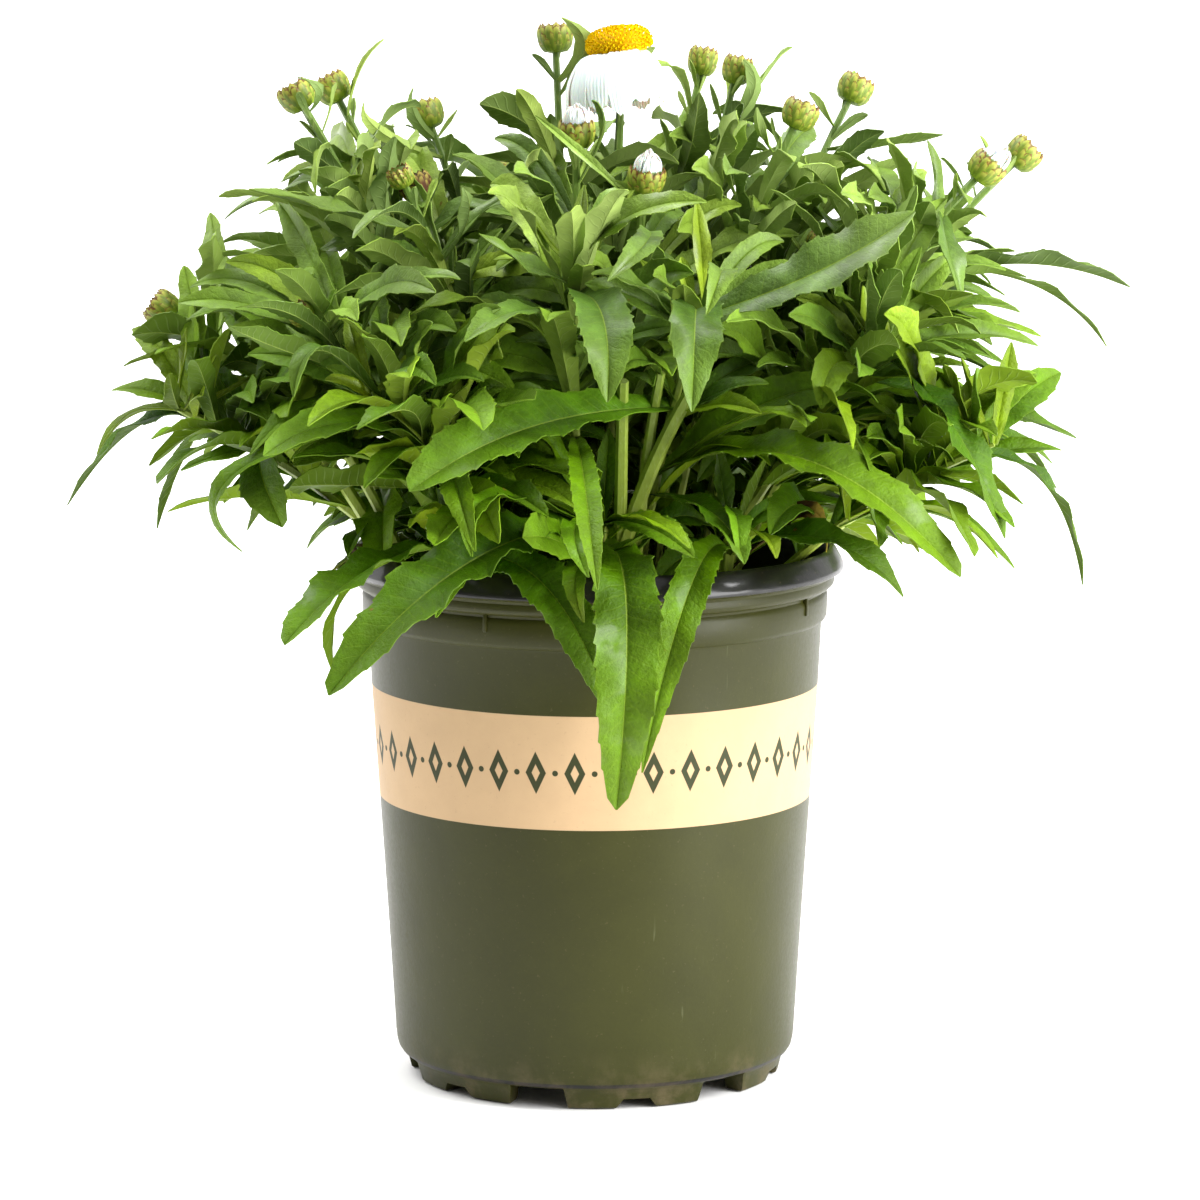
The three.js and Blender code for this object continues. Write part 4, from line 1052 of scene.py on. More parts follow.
def bracts_of(owner, stem):
    draw = seeded_draws(BRACT_SEEDS + owner)
    leaves = []
    for i in range(BRACTS):
        share = 0.97 - 0.035 * i
        azimuth = math.radians(owner * 61 + i * GOLDEN_ANGLE)
        slope = math.radians(30 + 40 * draw())
        span = 8 + 9 * draw()
        arch = 0.1 + 0.2 * draw()
        leaf = leaf_from(stem, share, azimuth, span, slope, arch, 0.3, (draw() - 0.5) * 80)
        leaf["owner"] = owner
        leaves.append(leaf)
    return leaves


for owner, stem in enumerate(STEMS):
    if stem[5] != "shoot":
        small_leaves += bracts_of(owner, stem)
print(len(small_leaves), "small leaves in all")

# %% [markdown]
# A leaf is tongue shaped, widest past its middle, with small teeth that point towards the tip and a groove
# along the midrib. One flat blade is modelled for each rough length: a grid, its edge points drawn out into
# teeth and its middle row pressed down. Every leaf is a copy of it, laid along the leaf's own line, folded,
# waved and turned.

# %% Model a flat toothed blade
NEARLY = 0.01  # how close to a line of the grid a point has to be
TOOTH_OUT = 1.1  # a tooth's reach against the half width
TOOTH_FORWARD = 0.75  # and how far it leans, in cells
TOOTHLESS_BASE = 0.2  # share of the length
CELLS_PER_TOOTH = 3
MOST_TEETH, FEWEST_TEETH = 18, 3
GROOVE_DEPTH = 0.34
GROOVE_HALF = 0.17  # share of the half width at which the groove ends
TOOTH_PITCH = 4.8  # millimetres from tooth to tooth
INNER_PITCH = 7.5  # and on the small inner leaves
LARGE_CELLS, INNER_CELLS = 6, 4  # cells across a large and an inner blade


def flat_strip(name, cells_along, cells_across):
    """A grid one millimetre long and two wide, from which a blade, a scale or a ray is shaped."""
    deselect()
    bpy.ops.mesh.primitive_grid_add(
        x_subdivisions=cells_along, y_subdivisions=cells_across, size=2 * MM, location=(0, 0, 0))
    strip = named(name)
    bpy.ops.object.mode_set(mode="EDIT")
    bpy.ops.transform.resize(value=(0.5, 1, 1), center_override=(0, 0, 0))
    bpy.ops.transform.translate(value=(0.5 * MM, 0, 0))
    close_editing()
    return strip


def flat_blade(cells, cells_across):
    """A strip split into cells along its length, with a tooth on every third one."""
    blade = flat_strip(f"flat_blade_{cells}", cells, cells_across)
    along, across, _ = points_of(blade).T
    station = np.rint(along * cells).astype(int)
    edge = np.isclose(np.abs(across), 1, atol=NEARLY)
    toothed = edge & (along > TOOTHLESS_BASE) & (station < cells)
    teeth = toothed & (station % CELLS_PER_TOOTH == 1)
    stretch(blade, teeth, (1, TOOTH_OUT, 1))
    push(blade, teeth, (TOOTH_FORWARD / cells, 0, 0))
    beside_groove = 2 / cells_across
    beside = np.isclose(np.abs(across), beside_groove, atol=NEARLY)
    stretch(blade, beside, (1, GROOVE_HALF / beside_groove, 1))
    push(blade, np.isclose(across, 0, atol=NEARLY), (0, 0, -GROOVE_DEPTH))
    return blade


blades = {}


def blade_for(span, inner):
    """The flat blade for a leaf this long, modelled when it is first needed."""
    pitch = INNER_PITCH if inner else TOOTH_PITCH
    cells = CELLS_PER_TOOTH * int(min(MOST_TEETH, max(FEWEST_TEETH, round(span / pitch))))
    kind = (cells, INNER_CELLS if inner else LARGE_CELLS)
    if kind not in blades:
        blades[kind] = flat_blade(*kind)
        blades[kind].data.materials.append(leaf_face)
        blades[kind].data.materials.append(leaf_back)
    return blades[kind]


print("teeth stand", TOOTH_PITCH, "mm apart")

# %% [markdown]
# The upper face of a leaf is a cloudy green with a pale midrib, faint side veins that lean forwards, and a
# thin light margin. Low leaves have wet looking patches, and the ones near the top have a cloudy gloss all
# over. The colour by height is painted light and shade: low leaves are painted a deep green for the shade
# under the foliage, the ones near the top a lighter, greyer green for the light and sheen on them. The leaves
# of a shoot's tip are yellow green. Each leaf carries its own height, tone, youth, size and dryness, and one
# material turns them into its colour. A few placed leaves are painted lighter, as painted light, and a few
# darker, as painted shade.

# %% Colour of a leaf
LENGTH_VEINS = 16  # side veins on a leaf of size one, which is 60 mm long
DRY_BROWN, DRY_STRAW = paint(58, 38, 18), paint(176, 150, 62)


def blade_place(tree):
    """How far along and across its blade a point lies, read from the blade's own map."""
    chart = tree.nodes.new("ShaderNodeUVMap")
    chart.uv_map = "UVMap"
    along, across, _ = split(tree, chart.outputs[0])
    return along, calc(tree, "MULTIPLY_ADD", across, 2.0, -1.0)


def leaf_green(tree, low, high, young):
    """The colour of a leaf from its height, youth and tone: the low colour is painted shade, the high one
    painted light.
    """
    colour = mixed(tree, attribute(tree, "height_and_painted_light"), low, high)
    colour = mixed(tree, attribute(tree, "youth"), colour, young)
    toned = tree.nodes.new("ShaderNodeHueSaturation")
    feed(tree, colour, toned.inputs["Color"])
    feed(tree, calc(tree, "MULTIPLY_ADD", attribute(tree, "tone"), 0.8, 0.5), toned.inputs["Value"])
    feed(tree, calc(tree, "MULTIPLY_ADD", attribute(tree, "tone"), -0.025, 0.512), toned.inputs["Hue"])
    return toned.outputs[0]


def withering(tree, green, along, place_at):
    """A dry leaf turns dark brown, and straw yellow towards its tip."""
    ragged = calc(tree, "MULTIPLY_ADD", noise(tree, place_at, 300.0, 2.0), 0.4, along)
    brown = mixed(tree, ramp(tree, ragged, 0.75, 1.1), DRY_BROWN, DRY_STRAW)
    return mixed(tree, attribute(tree, "dry"), green, brown)


print("a leaf has about", LENGTH_VEINS, "side veins")

# %% Finish of a leaf's upper face
def leaf_face_finish():
    material, tree, shader = new_finish("leaf_face")
    along, across = blade_place(tree)
    place_at = object_place(tree)
    wobble = noise(tree, place_at, 260.0, 2.0)
    lines = use_group(tree, veining, Along=along, Across=across,
                      Count=times(tree, attribute(tree, "size"), LENGTH_VEINS),
                      Wobble=times(tree, wobble, 0.5))
    # low leaves painted deep green as painted shade, high ones lighter and greyer as painted light and sheen
    colour = leaf_green(tree, paint(82, 124, 0), paint(132, 162, 70), paint(146, 164, 0))
    broad = use_group(tree, mottling, Colour=colour, Place=place_at, Size=0.022, Amount=0.5)
    cloud = use_group(tree, mottling, Colour=broad["Colour"], Place=place_at, Size=0.007, Amount=0.4)
    fine = use_group(tree, mottling, Colour=cloud["Colour"], Place=place_at, Size=0.0011, Amount=0.16)
    veined = tinted(tree, fine["Colour"], paint(128, 158, 40), lines["Veins"], 0.1)
    ribbed = tinted(tree, veined, paint(150, 174, 60), lines["Midrib"], 0.5)
    edged = tinted(tree, ribbed, paint(160, 184, 60), lines["Margin"], 0.08)
    worn = tinted(tree, edged, paint(134, 164, 50), ramp(tree, along, 0.35, 1.0), 0.25)
    blemish = ramp(tree, noise(tree, place_at, 210.0, 1.0, 0.4), 0.8, 0.83)
    spotted = tinted(tree, worn, paint(120, 84, 34), blemish, 0.7)
    feed(tree, withering(tree, spotted, along, place_at), shader.inputs["Base Color"])
    matt = calc(tree, "MULTIPLY_ADD", attribute(tree, "height_and_painted_light"), 0.1, 0.4)
    feed(tree, calc(tree, "MULTIPLY_ADD", fine["Mask"], 0.1, matt), shader.inputs["Roughness"])
    height = calc(tree, "MULTIPLY_ADD", lines["Veins"], -0.15, times(tree, fine["Mask"], 0.25))
    bumped(tree, shader, calc(tree, "MULTIPLY_ADD", cloud["Mask"], 0.7, height), 0.6, 0.8)
    wet = ramp(tree, noise(tree, place_at, 70.0, 3.0, 0.6), 0.54, 0.66)
    cloudy = times(tree, attribute(tree, "height_and_painted_light"), 0.45)
    feed(tree, calc(tree, "MULTIPLY_ADD", wet, 0.3, cloudy), shader.inputs["Coat Weight"])
    shader.inputs["Coat Roughness"].default_value = 0.32
    shader.inputs["Specular IOR Level"].default_value = 0.12
    return material


leaf_face = leaf_face_finish()
print("the upper face is drawn by", len(leaf_face.node_tree.nodes), "nodes")

# %% Finish of a leaf's back and of the stems
def leaf_back_finish():
    material, tree, shader = new_finish("leaf_back")
    along, across = blade_place(tree)
    place_at = object_place(tree)
    lines = use_group(tree, veining, Along=along, Across=across,
                      Count=times(tree, attribute(tree, "size"), LENGTH_VEINS), Wobble=0.2)
    # the backs too: deep low down as painted shade, paler near the top as painted light
    colour = leaf_green(tree, paint(108, 138, 14), paint(142, 166, 92), paint(148, 168, 30))
    cloud = use_group(tree, mottling, Colour=colour, Place=place_at, Size=0.004, Amount=0.16)
    veined = tinted(tree, cloud["Colour"], paint(160, 180, 116), lines["Veins"], 0.16)
    ribbed = tinted(tree, veined, paint(176, 196, 96), lines["Midrib"], 0.6)
    feed(tree, withering(tree, ribbed, along, place_at), shader.inputs["Base Color"])
    shader.inputs["Roughness"].default_value = 0.62
    shader.inputs["Specular IOR Level"].default_value = 0.15
    bumped(tree, shader, calc(tree, "MULTIPLY_ADD", lines["Veins"], 0.35, lines["Midrib"]), 0.5, 0.6)
    return material


def stem_finish():
    material, tree, shader = new_finish("green_stem")
    place_at = object_place(tree)
    _, _, z = split(tree, place_at)
    high = ramp(tree, z, 0.17, 0.3)
    colour = mixed(tree, high, paint(150, 168, 58), paint(96, 124, 44))
    cloud = use_group(tree, mottling, Colour=colour, Place=place_at, Size=0.006, Amount=0.25)
    stretched = tree.nodes.new("ShaderNodeMapping")
    feed(tree, place_at, stretched.inputs["Vector"])
    stretched.inputs["Scale"].default_value = (1, 1, 0.12)
    streaks = noise(tree, stretched.outputs[0], 1500.0, 3.0)
    streaked = tinted(tree, cloud["Colour"], paint(186, 196, 122), ramp(tree, streaks, 0.5, 0.75), 0.35)
    feed(tree, streaked, shader.inputs["Base Color"])
    shader.inputs["Roughness"].default_value = 0.48
    bumped(tree, shader, streaks, 0.25, 0.7)
    return material


leaf_back = leaf_back_finish()
green_stem = stem_finish()
print("leaf and stem finishes are ready")

# %% [markdown]
# Laying a blade is one sum for each of its points. The point's share of the length finds its place on the
# leaf's line, its place across is folded up like a shallow gutter, and slow waves lift the margins in turn.
# The wave, the sideways sway and the curl of the tip are drawn afresh for each leaf, with a fixed seed.

# %% Width of a fine blade
LOW_LEVEL, LEVEL_RANGE = 212, 78  # height of the low leaves, and how much higher the top ones are
LOW_SLIMNESS, HIGH_SLIMNESS = 0.94, 0.74  # share of a solid leaf's width, low and high on the plant
FULLEST = 0.6  # share of the length at which a blade is widest
BASE_SHARE = 0.3  # of the width, at the root
SHARP_TIP, BLUNT_TIP = 0.76, 0.5  # a smaller power makes a blunter tip
BLUNT_WIDTH, BLUNT_BELOW = 15, 0.4  # leaves wider than this, and lower, end blunt


def height_share(z):
    """Nought low on the plant, one near its top."""
    return min(1, max(0, (z - LOW_LEVEL) / LEVEL_RANGE))


def shown_width(leaf, share):
    """Half the width of a fine blade, whose sides run nearly side by side up to a blunter tip."""
    grown = BASE_SHARE + (1 - BASE_SHARE) * np.sin(np.minimum(share / FULLEST, 1) * np.pi / 2)
    past = np.maximum(0, (share - FULLEST) / (1 - FULLEST))
    high = height_share(leaf["bend"][2])
    slimness = 1 if leaf.get("placed") else between(LOW_SLIMNESS, HIGH_SLIMNESS, high)
    tip = BLUNT_TIP if leaf["width"] > BLUNT_WIDTH and high < BLUNT_BELOW else SHARP_TIP
    return leaf["width"] / 2 * slimness * grown * np.maximum(0, np.cos(past * np.pi / 2)) ** tip


print("the slimmest blades keep", HIGH_SLIMNESS, "of their width")

# %% Lay a blade along its leaf's line
THINNEST = 0.3  # half width left at the very tip
BLADE_THICKNESS = 0.3
WAVE_PITCH = 21
WAVE_SHARE = 0.1  # of the width
WAVE_LAG = (1.2, 3.6)  # how far one margin's wave runs behind the other's
GUTTER = (0.36, 0.52)  # rise of the margins against the half width
GUTTER_EASES = 0.16
SWAY = 0.05  # of the length
PLACED_CURL, CURL = 0.05, 0.3
CURL_FROM = 0.7  # share of the length from which the tip bends down
# the small leaves are painted lighter near the top, as painted light
INNER_TONE, HIGH_INNER_TONE = (0.12, 0.75), 0.25  # light and dark of the small leaves, lighter near the top
LARGE_TONE = (-0.12, 0.24)
SIZE_ONE = 60  # length of a leaf of size one


def write_value(piece, name, value):
    """Gives every point of a piece the same value, for its material to read."""
    layer = piece.data.attributes.new(name, "FLOAT", "POINT")
    layer.data.foreach_set("value", np.full(len(piece.data.vertices), value, np.float32))


def lay_blade(leaf, seed, inner):
    """A copy of the flat blade, laid on the leaf's line, with the values that its finish reads."""
    draw = seeded_draws(seed)
    span = float(np.linalg.norm(leaf["tip"] - leaf["root"]))
    template = blade_for(span, inner)
    share, across, lift = points_of(template).T
    share = np.clip(share, 0, 1)
    point, side, up = leaf_frame(leaf, share)
    reach = np.maximum(shown_width(leaf, share), THINNEST)
    off = np.abs(across)
    gutter = reach * (between(*GUTTER, draw()) * off - GUTTER_EASES * off ** 2)
    phase = 6.28 * draw()
    turns = 2 * np.pi * share * span / WAVE_PITCH + phase + between(*WAVE_LAG, draw()) * (across > 0)
    wave = WAVE_SHARE * leaf["width"] * (0.4 + draw()) * off ** 2 * np.sin(turns) * np.sin(np.pi * share)
    sway = (draw() - 0.5) * SWAY * span * np.sin(np.pi * share)
    bends = PLACED_CURL if leaf.get("placed") else CURL
    curl = -span * bends * draw() * np.maximum(0, share - CURL_FROM) ** 2
    height = gutter + wave + curl + lift * np.minimum(1, reach / 3)
    laid = point + side * (across * reach * math.cos(math.radians(LEAF_FOLD)) + sway)[:, None]
    laid = laid + up * height[:, None]
    piece = copy_of(template, "blade")
    move_points(piece, laid)
    high = height_share(laid[:, 2].mean())
    # the leaf's height on the plant, which sets its painted shade low down and painted light near the top
    write_value(piece, "height_and_painted_light", high ** 1.5)
    # a leaf's tone is its own random lightness; on the small leaves it rises near the top as painted light,
    # and a placed leaf's light value adds painted light where it is above nought and painted shade where it
    # is below
    dark, light = (INNER_TONE[0], INNER_TONE[1] + HIGH_INNER_TONE * high) if inner else LARGE_TONE
    write_value(piece, "tone", between(dark, light, draw()) + leaf.get("light", 0))
    write_value(piece, "youth", youth_of(leaf, draw))
    write_value(piece, "size", span / SIZE_ONE)
    write_value(piece, "dry", leaf.get("dry", 0.0))
    return piece


def youth_of(leaf, draw):
    """How yellow green a leaf is: most round the tip of a shoot, and least in the rosettes at the foot."""
    stem = STEMS[leaf["owner"]]
    freshness = 0.2 if stem[0].startswith("basal") else 1
    if leaf.get("tuft"):
        return freshness * (0.55 + 0.4 * draw())
    small = float(np.linalg.norm(leaf["tip"] - leaf["root"])) < 34
    near_tip = freshness * max(0, leaf["share"] - 0.75) * 2 if small and stem[5] == "shoot" else 0
    return min(0.6, near_tip + 0.3 * draw() ** 3)


def thick_blades(leaves, name, first_seed, inner=False):
    """Lays several leaves, joins them and gives them their thickness, with the back as its own finish."""
    laid = [lay_blade(leaf, first_seed + i, inner) for i, leaf in enumerate(leaves)]
    piece = join(laid, name)
    apply_modifier(piece, "SOLIDIFY", thickness=BLADE_THICKNESS * MM, offset=-1, material_offset=1)
    return smooth(piece, 50)


print("blades are", BLADE_THICKNESS, "mm thick")

# %% [markdown]
# A daisy's stem is not a plain rod: low ribs run up it, and it thins towards the head. It is walked up from a
# ring of points, extruded step by step, and every second column is drawn in a little to leave ribs. Copies of
# it are laid along each stem's own bend. Low at the front a few more stem feet show bare between the leaves,
# so they are added.

# %% Model a ribbed stem and lay it
STEM_COLUMNS = 12
STEM_STEPS = 15
RIB_SHARE = 0.88
STEM_THINS_TO = 0.78


def open_ring(name, sides, radius, height=0):
    """Adds a ring of points and opens it for editing, all selected."""
    deselect()
    bpy.ops.mesh.primitive_circle_add(
        vertices=sides, radius=radius * MM, fill_type="NOTHING", location=(0, 0, height * MM))
    ring = settle(named(name))
    bpy.ops.object.mode_set(mode="EDIT")
    bpy.ops.mesh.select_all(action="SELECT")
    return ring


def raise_ring(rise, widen):
    """Extrudes the selected ring upwards and widens it about the axis."""
    bpy.ops.mesh.extrude_region_move(TRANSFORM_OT_translate={"value": (0, 0, rise)})
    bpy.ops.transform.resize(value=(widen, widen, 1), center_override=(0, 0, 0))


def close_ring():
    """Fills both ends and leaves the editing."""
    bpy.ops.mesh.select_all(action="SELECT")
    bpy.ops.mesh.fill_holes(sides=0)
    close_editing()


def straight_stem():
    stem = open_ring("straight_stem", STEM_COLUMNS, 1)
    for _ in range(STEM_STEPS):
        raise_ring(MM / STEM_STEPS, 1)
    close_ring()
    x, y, _ = points_of(stem).T
    column = np.rint(np.degrees(np.arctan2(y, x)) / (360 / STEM_COLUMNS)).astype(int)
    stretch(stem, column % 2 == 1, (RIB_SHARE, RIB_SHARE, 1))
    face_outwards(stem)
    stem.data.materials.append(green_stem)
    return stem


def lay_stem(template, stem):
    """Lays the straight stem along a bend, with its lowest step upright in the mix."""
    x, y, z = points_of(template).T
    buried = z < 0.5 / STEM_STEPS
    share = np.clip((z - 1 / STEM_STEPS) / (1 - 1 / STEM_STEPS), 0, 1)
    point, along = on_stem(stem, share)
    along[buried | (share < 0.01)] = (0, 0, 1)
    point[buried] -= (0, 0, STEM_SINK)
    first = np.cross((0, 1, 0), along)
    first /= np.linalg.norm(first, axis=1, keepdims=True)
    second = np.cross(along, first)
    girth = stem[3] / 2 * between(1, STEM_THINS_TO, share)
    if stem[5] == "shoot":
        girth = girth * np.where(share > 0.95, 0.5, 1)
    laid = point + first * (x * girth)[:, None] + second * (y * girth)[:, None]
    piece = copy_of(template, "stem")
    move_points(piece, laid)
    return piece


stem_template = straight_stem()
print("the straight stem has", triangles_in(stem_template), "triangles")

# %% Bare stems that show in the gaps
# name, foot, end, thickness
BARE_STEMS = [
    ("bare_stem_1", (3, -46), (33, -62, 238), 5.4),
    ("bare_stem_2", (8, -44), (9, -66, 238), 4.6),
    ("bare_stem_3", (12, -42), (21, -60, 240), 4),
    ("bare_stem_4", (-60, -22), (-108, -34, 232), 4.8),
    ("bare_stem_5", (-56, -28), (-98, -44, 236), 3.8),
]


def bare_stem(row):
    piece = smooth(lay_stem(stem_template, (*row, 0, "bare")), 50)
    piece.name = row[0]
    return place(piece, "leaf_and_stem")


bare = [bare_stem(row) for row in BARE_STEMS]
print(len(bare), "bare stems stand at the front")

# %% Dress every stem with its leaves
BLADE_SEEDS, INNER_BLADE_SEEDS = 60000, 80000


def grown_stem(owner, stem):
    own = [leaf for leaf in solid_leaves if leaf["owner"] == owner]
    leaves = thick_blades(own, "leaves", BLADE_SEEDS + 100 * owner)
    piece = join([leaves, smooth(lay_stem(stem_template, stem), 50)], "grown_" + stem[0])
    return place(piece, "leaf_and_stem", stem[0])


grown = [grown_stem(owner, stem) for owner, stem in enumerate(STEMS)]
print(len(grown), "stems are dressed with", sum(map(triangles_in, grown)), "triangles")

# %% Dress the small leaves
INNER_GROUPS = 6


def inner_piece(group):
    own = [leaf for leaf in small_leaves if leaf["owner"] % INNER_GROUPS == group]
    first_seed = INNER_BLADE_SEEDS + 1000 * group
    return place(thick_blades(own, f"inner_leaves_{group + 1}", first_seed, True), "leaf_and_stem")


inner = [inner_piece(group) for group in range(INNER_GROUPS)]
print("small leaves have", sum(map(triangles_in, inner)), "triangles")

# %% [markdown]
# The pot is blow moulded in one piece: a thin tapering wall with a sloped, rolled lip, two low ridges under
# it, four small stops that keep stacked pots apart, and a foot ring cut into twelve feet. Such a turned shape
# could be spun from its section. Walking a ring of points up the section instead, one extrusion and one
# resize for each step, gives the same wall and shows how each ridge arises.

# %% Walk a ring up a section
SECTION_END = 3  # radius of the small rings that close a section at the axis


def walk_ring(name, section, sides):
    """Extrudes a ring of points along a section of (radius, height) and closes both ends."""
    radius, height = section[0]
    shell = open_ring(name, sides, radius, height)
    for next_radius, next_height in section[1:]:
        raise_ring((next_height - height) * MM, next_radius / radius)
        radius, height = next_radius, next_height
    close_ring()
    return face_outwards(shell)


# %% The pot's section
POT_SIDES = 144
OUTSIDE = [
    (SECTION_END, 6.4), (30, 6.4), (52.6, 6.4), (53.4, 5.2), (53.9, 0.7), (54.6, 0), (60.9, 0),
    (61.5, 0.5), (62.4, 4), (62.9, 6.2), (63.6, 6.9), (64.9, 7.8), (65.8, 9.2), (66.3, 11.2), (66.6, 14),
    (67.7, 32), (69, 53), (70.4, 75), (71.7, 94.6), (72.9, 113), (74.1, 131), (75.1, 151.4),
    (75.4, 152.4), (76.4, 153.1), (76.9, 154.2), (77.0, 157.6), (77.1, 160.6), (76.7, 161.8),
    (76.2, 162.4), (76.4, 163.2), (78.3, 163.8), (79.1, 164.6), (79.4, 165.6), (79.0, 167.4),
    (79.5, 168.3), (81.3, 168.7), (82.3, 169.3), (82.5, 170.2), (82.3, 171.2), (81.2, 173.4),
    (79.9, 175.6), (79, 176.7), (78.3, 177),
]
INSIDE = [
    (77.7, 176.6), (77.2, 175), (76.9, 172), (76.2, 167), (75.3, 158.5), (75, 156.6), (73.9, 153.2),
    (70.1, 94), (66.4, 32), (65.2, 14), (62.5, 8), (30, 8), (SECTION_END, 8),
]
pot = walk_ring("moulded_pot", OUTSIDE + INSIDE, POT_SIDES)
print("pot wall has", triangles_in(pot), "triangles")

# %% Cut the feet, the drain slots and the drain holes
SLOT_ANGLE = -17.5  # degrees from the front
ARCH_ANGLE = 12.8
FEET_PERIOD = 60
# widths low and high, heights of its bottom and top, and its near and far end from the axis
SLOT_BAR = (20.3, 18, -1, 7, 51, 72)
ARCH_BAR = (14.8, 9, -1, 3.2, 51, 72)
HOLE_BAR = (12, 12, 5, 11, 52, 60)
FOOT_EDGE = 0.5  # rounding
SHARP = math.radians(48)  # edges sharper than this are rounded


def bar(low_width, high_width, low, high, near, far, degrees):
    """A bar that runs outwards from the pot's axis, narrower at its top."""
    deselect()
    bpy.ops.mesh.primitive_cube_add(
        size=1, location=(0, -(near + far) / 2 * MM, (low + high) / 2 * MM),
        scale=(low_width * MM, (far - near) * MM, (high - low) * MM))
    cutter = settle(named("bar"))
    stretch(cutter, points_of(cutter)[:, 2] > (low + high) / 2, (high_width / low_width, 1, 1))
    cutter.rotation_euler = (0, 0, math.radians(degrees))
    return settle(cutter)


def cut_away(piece, cutters):
    cutter = join(cutters, "cutters")
    apply_modifier(piece, "BOOLEAN", operation="DIFFERENCE", object=cutter, solver="EXACT")
    bpy.data.objects.remove(cutter)


turns = range(0, 360, FEET_PERIOD)
slots = [bar(*SLOT_BAR, SLOT_ANGLE + turn) for turn in turns]
arches = [bar(*ARCH_BAR, ARCH_ANGLE + turn) for turn in turns]
cut_away(pot, slots + arches)
cut_away(pot, [bar(*HOLE_BAR, SLOT_ANGLE + turn) for turn in turns])
apply_modifier(pot, "BEVEL", width=FOOT_EDGE * MM, segments=2, limit_method="ANGLE", angle_limit=SHARP)
print("pot stands on", 2 * len(turns), "feet")

# %% Small stops on the collar
STOP_ANGLES = (-27, 63, 153, 243)
STOP_BAR = (1.5, 1.1, 157.8, 164, 76.2, 77.7)
STOP_EDGE = 0.35


def collar_stop(degrees):
    """A small upright rib under the lip, where stacked pots catch."""
    return apply_modifier(bar(*STOP_BAR, degrees), "BEVEL", width=STOP_EDGE * MM, segments=2)


pot = join([pot] + [collar_stop(degrees) for degrees in STOP_ANGLES], "moulded_pot")
smooth(pot, 35)
print("pot has", triangles_in(pot), "triangles")

# %% [markdown]
# The plastic is olive green outside and black inside and over the lip, where it is glossier. A printed cream
# band runs round the middle, with a plain row of lozenges and dots on it. A picture could be wrapped round
# the pot for that. Drawing the row from the angle and the height alone keeps its edges sharp at any distance.

# %% Ornaments on the band
BAND_LOW, BAND_HIGH = 93.8, 131.2
ORNAMENTS = 36
LOZENGE_WIDTH, LOZENGE_HEIGHT = 3.4, 7
DOT_RADIUS = 0.95
BAND_RADIUS = 72.9
INK = paint(50, 54, 28)
CREAM = paint(191, 161, 123)


def within(tree, value, middle, half, soft=0.08):
    """One where the value is nearer to the middle than half, nought outside, with a soft edge."""
    away = calc(tree, "ABSOLUTE", calc(tree, "SUBTRACT", value, middle))
    return inverse(tree, ramp(tree, away, half - soft, half + soft))


def distance(tree, x, y):
    squares = calc(tree, "ADD", calc(tree, "POWER", x, 2.0), calc(tree, "POWER", y, 2.0))
    return calc(tree, "SQRT", squares)


def ornament_mask(tree, x, y, up):
    """Lozenges and dots along the band. up is the height above the band's middle in millimetres."""
    around = calc(tree, "ARCTAN2", x, times(tree, y, -1.0))
    count = calc(tree, "MULTIPLY_ADD", around, ORNAMENTS / (2 * math.pi), ORNAMENTS * 2)
    pitch = 2 * math.pi * BAND_RADIUS / ORNAMENTS
    sideways = times(tree, calc(tree, "SUBTRACT", calc(tree, "FRACT", count), 0.5), pitch)
    wide = calc(tree, "DIVIDE", calc(tree, "ABSOLUTE", sideways), LOZENGE_WIDTH)
    tall = calc(tree, "DIVIDE", calc(tree, "ABSOLUTE", up), LOZENGE_HEIGHT)
    spread = calc(tree, "ADD", wide, tall)
    hollow = ramp(tree, spread, 0.36, 0.44)
    lozenge = times(tree, within(tree, spread, 0.0, 1.0, 0.03), hollow)
    aside = calc(tree, "SUBTRACT", pitch / 2, calc(tree, "ABSOLUTE", sideways))
    dot = within(tree, distance(tree, aside, up), 0.0, DOT_RADIUS)
    return calc(tree, "MAXIMUM", lozenge, dot)


print("band carries", ORNAMENTS, "lozenges")

# %% Finish of the pot
WALL_FOOT, WALL_LEAN = 65.0, 0.0616  # radius of the wall's middle at the ground, and its growth with height
WALL_MOST = 75.6
FLOOR_TOP = 7.3  # the pot's own floor
LIP_BLACK = (169.0, 169.5)  # heights between which green gives way to black
GREEN_ROUGH, BAND_ROUGH, BLACK_ROUGH = 0.37, 0.5, 0.34


def grey(value):
    return (value, value, value, 1)


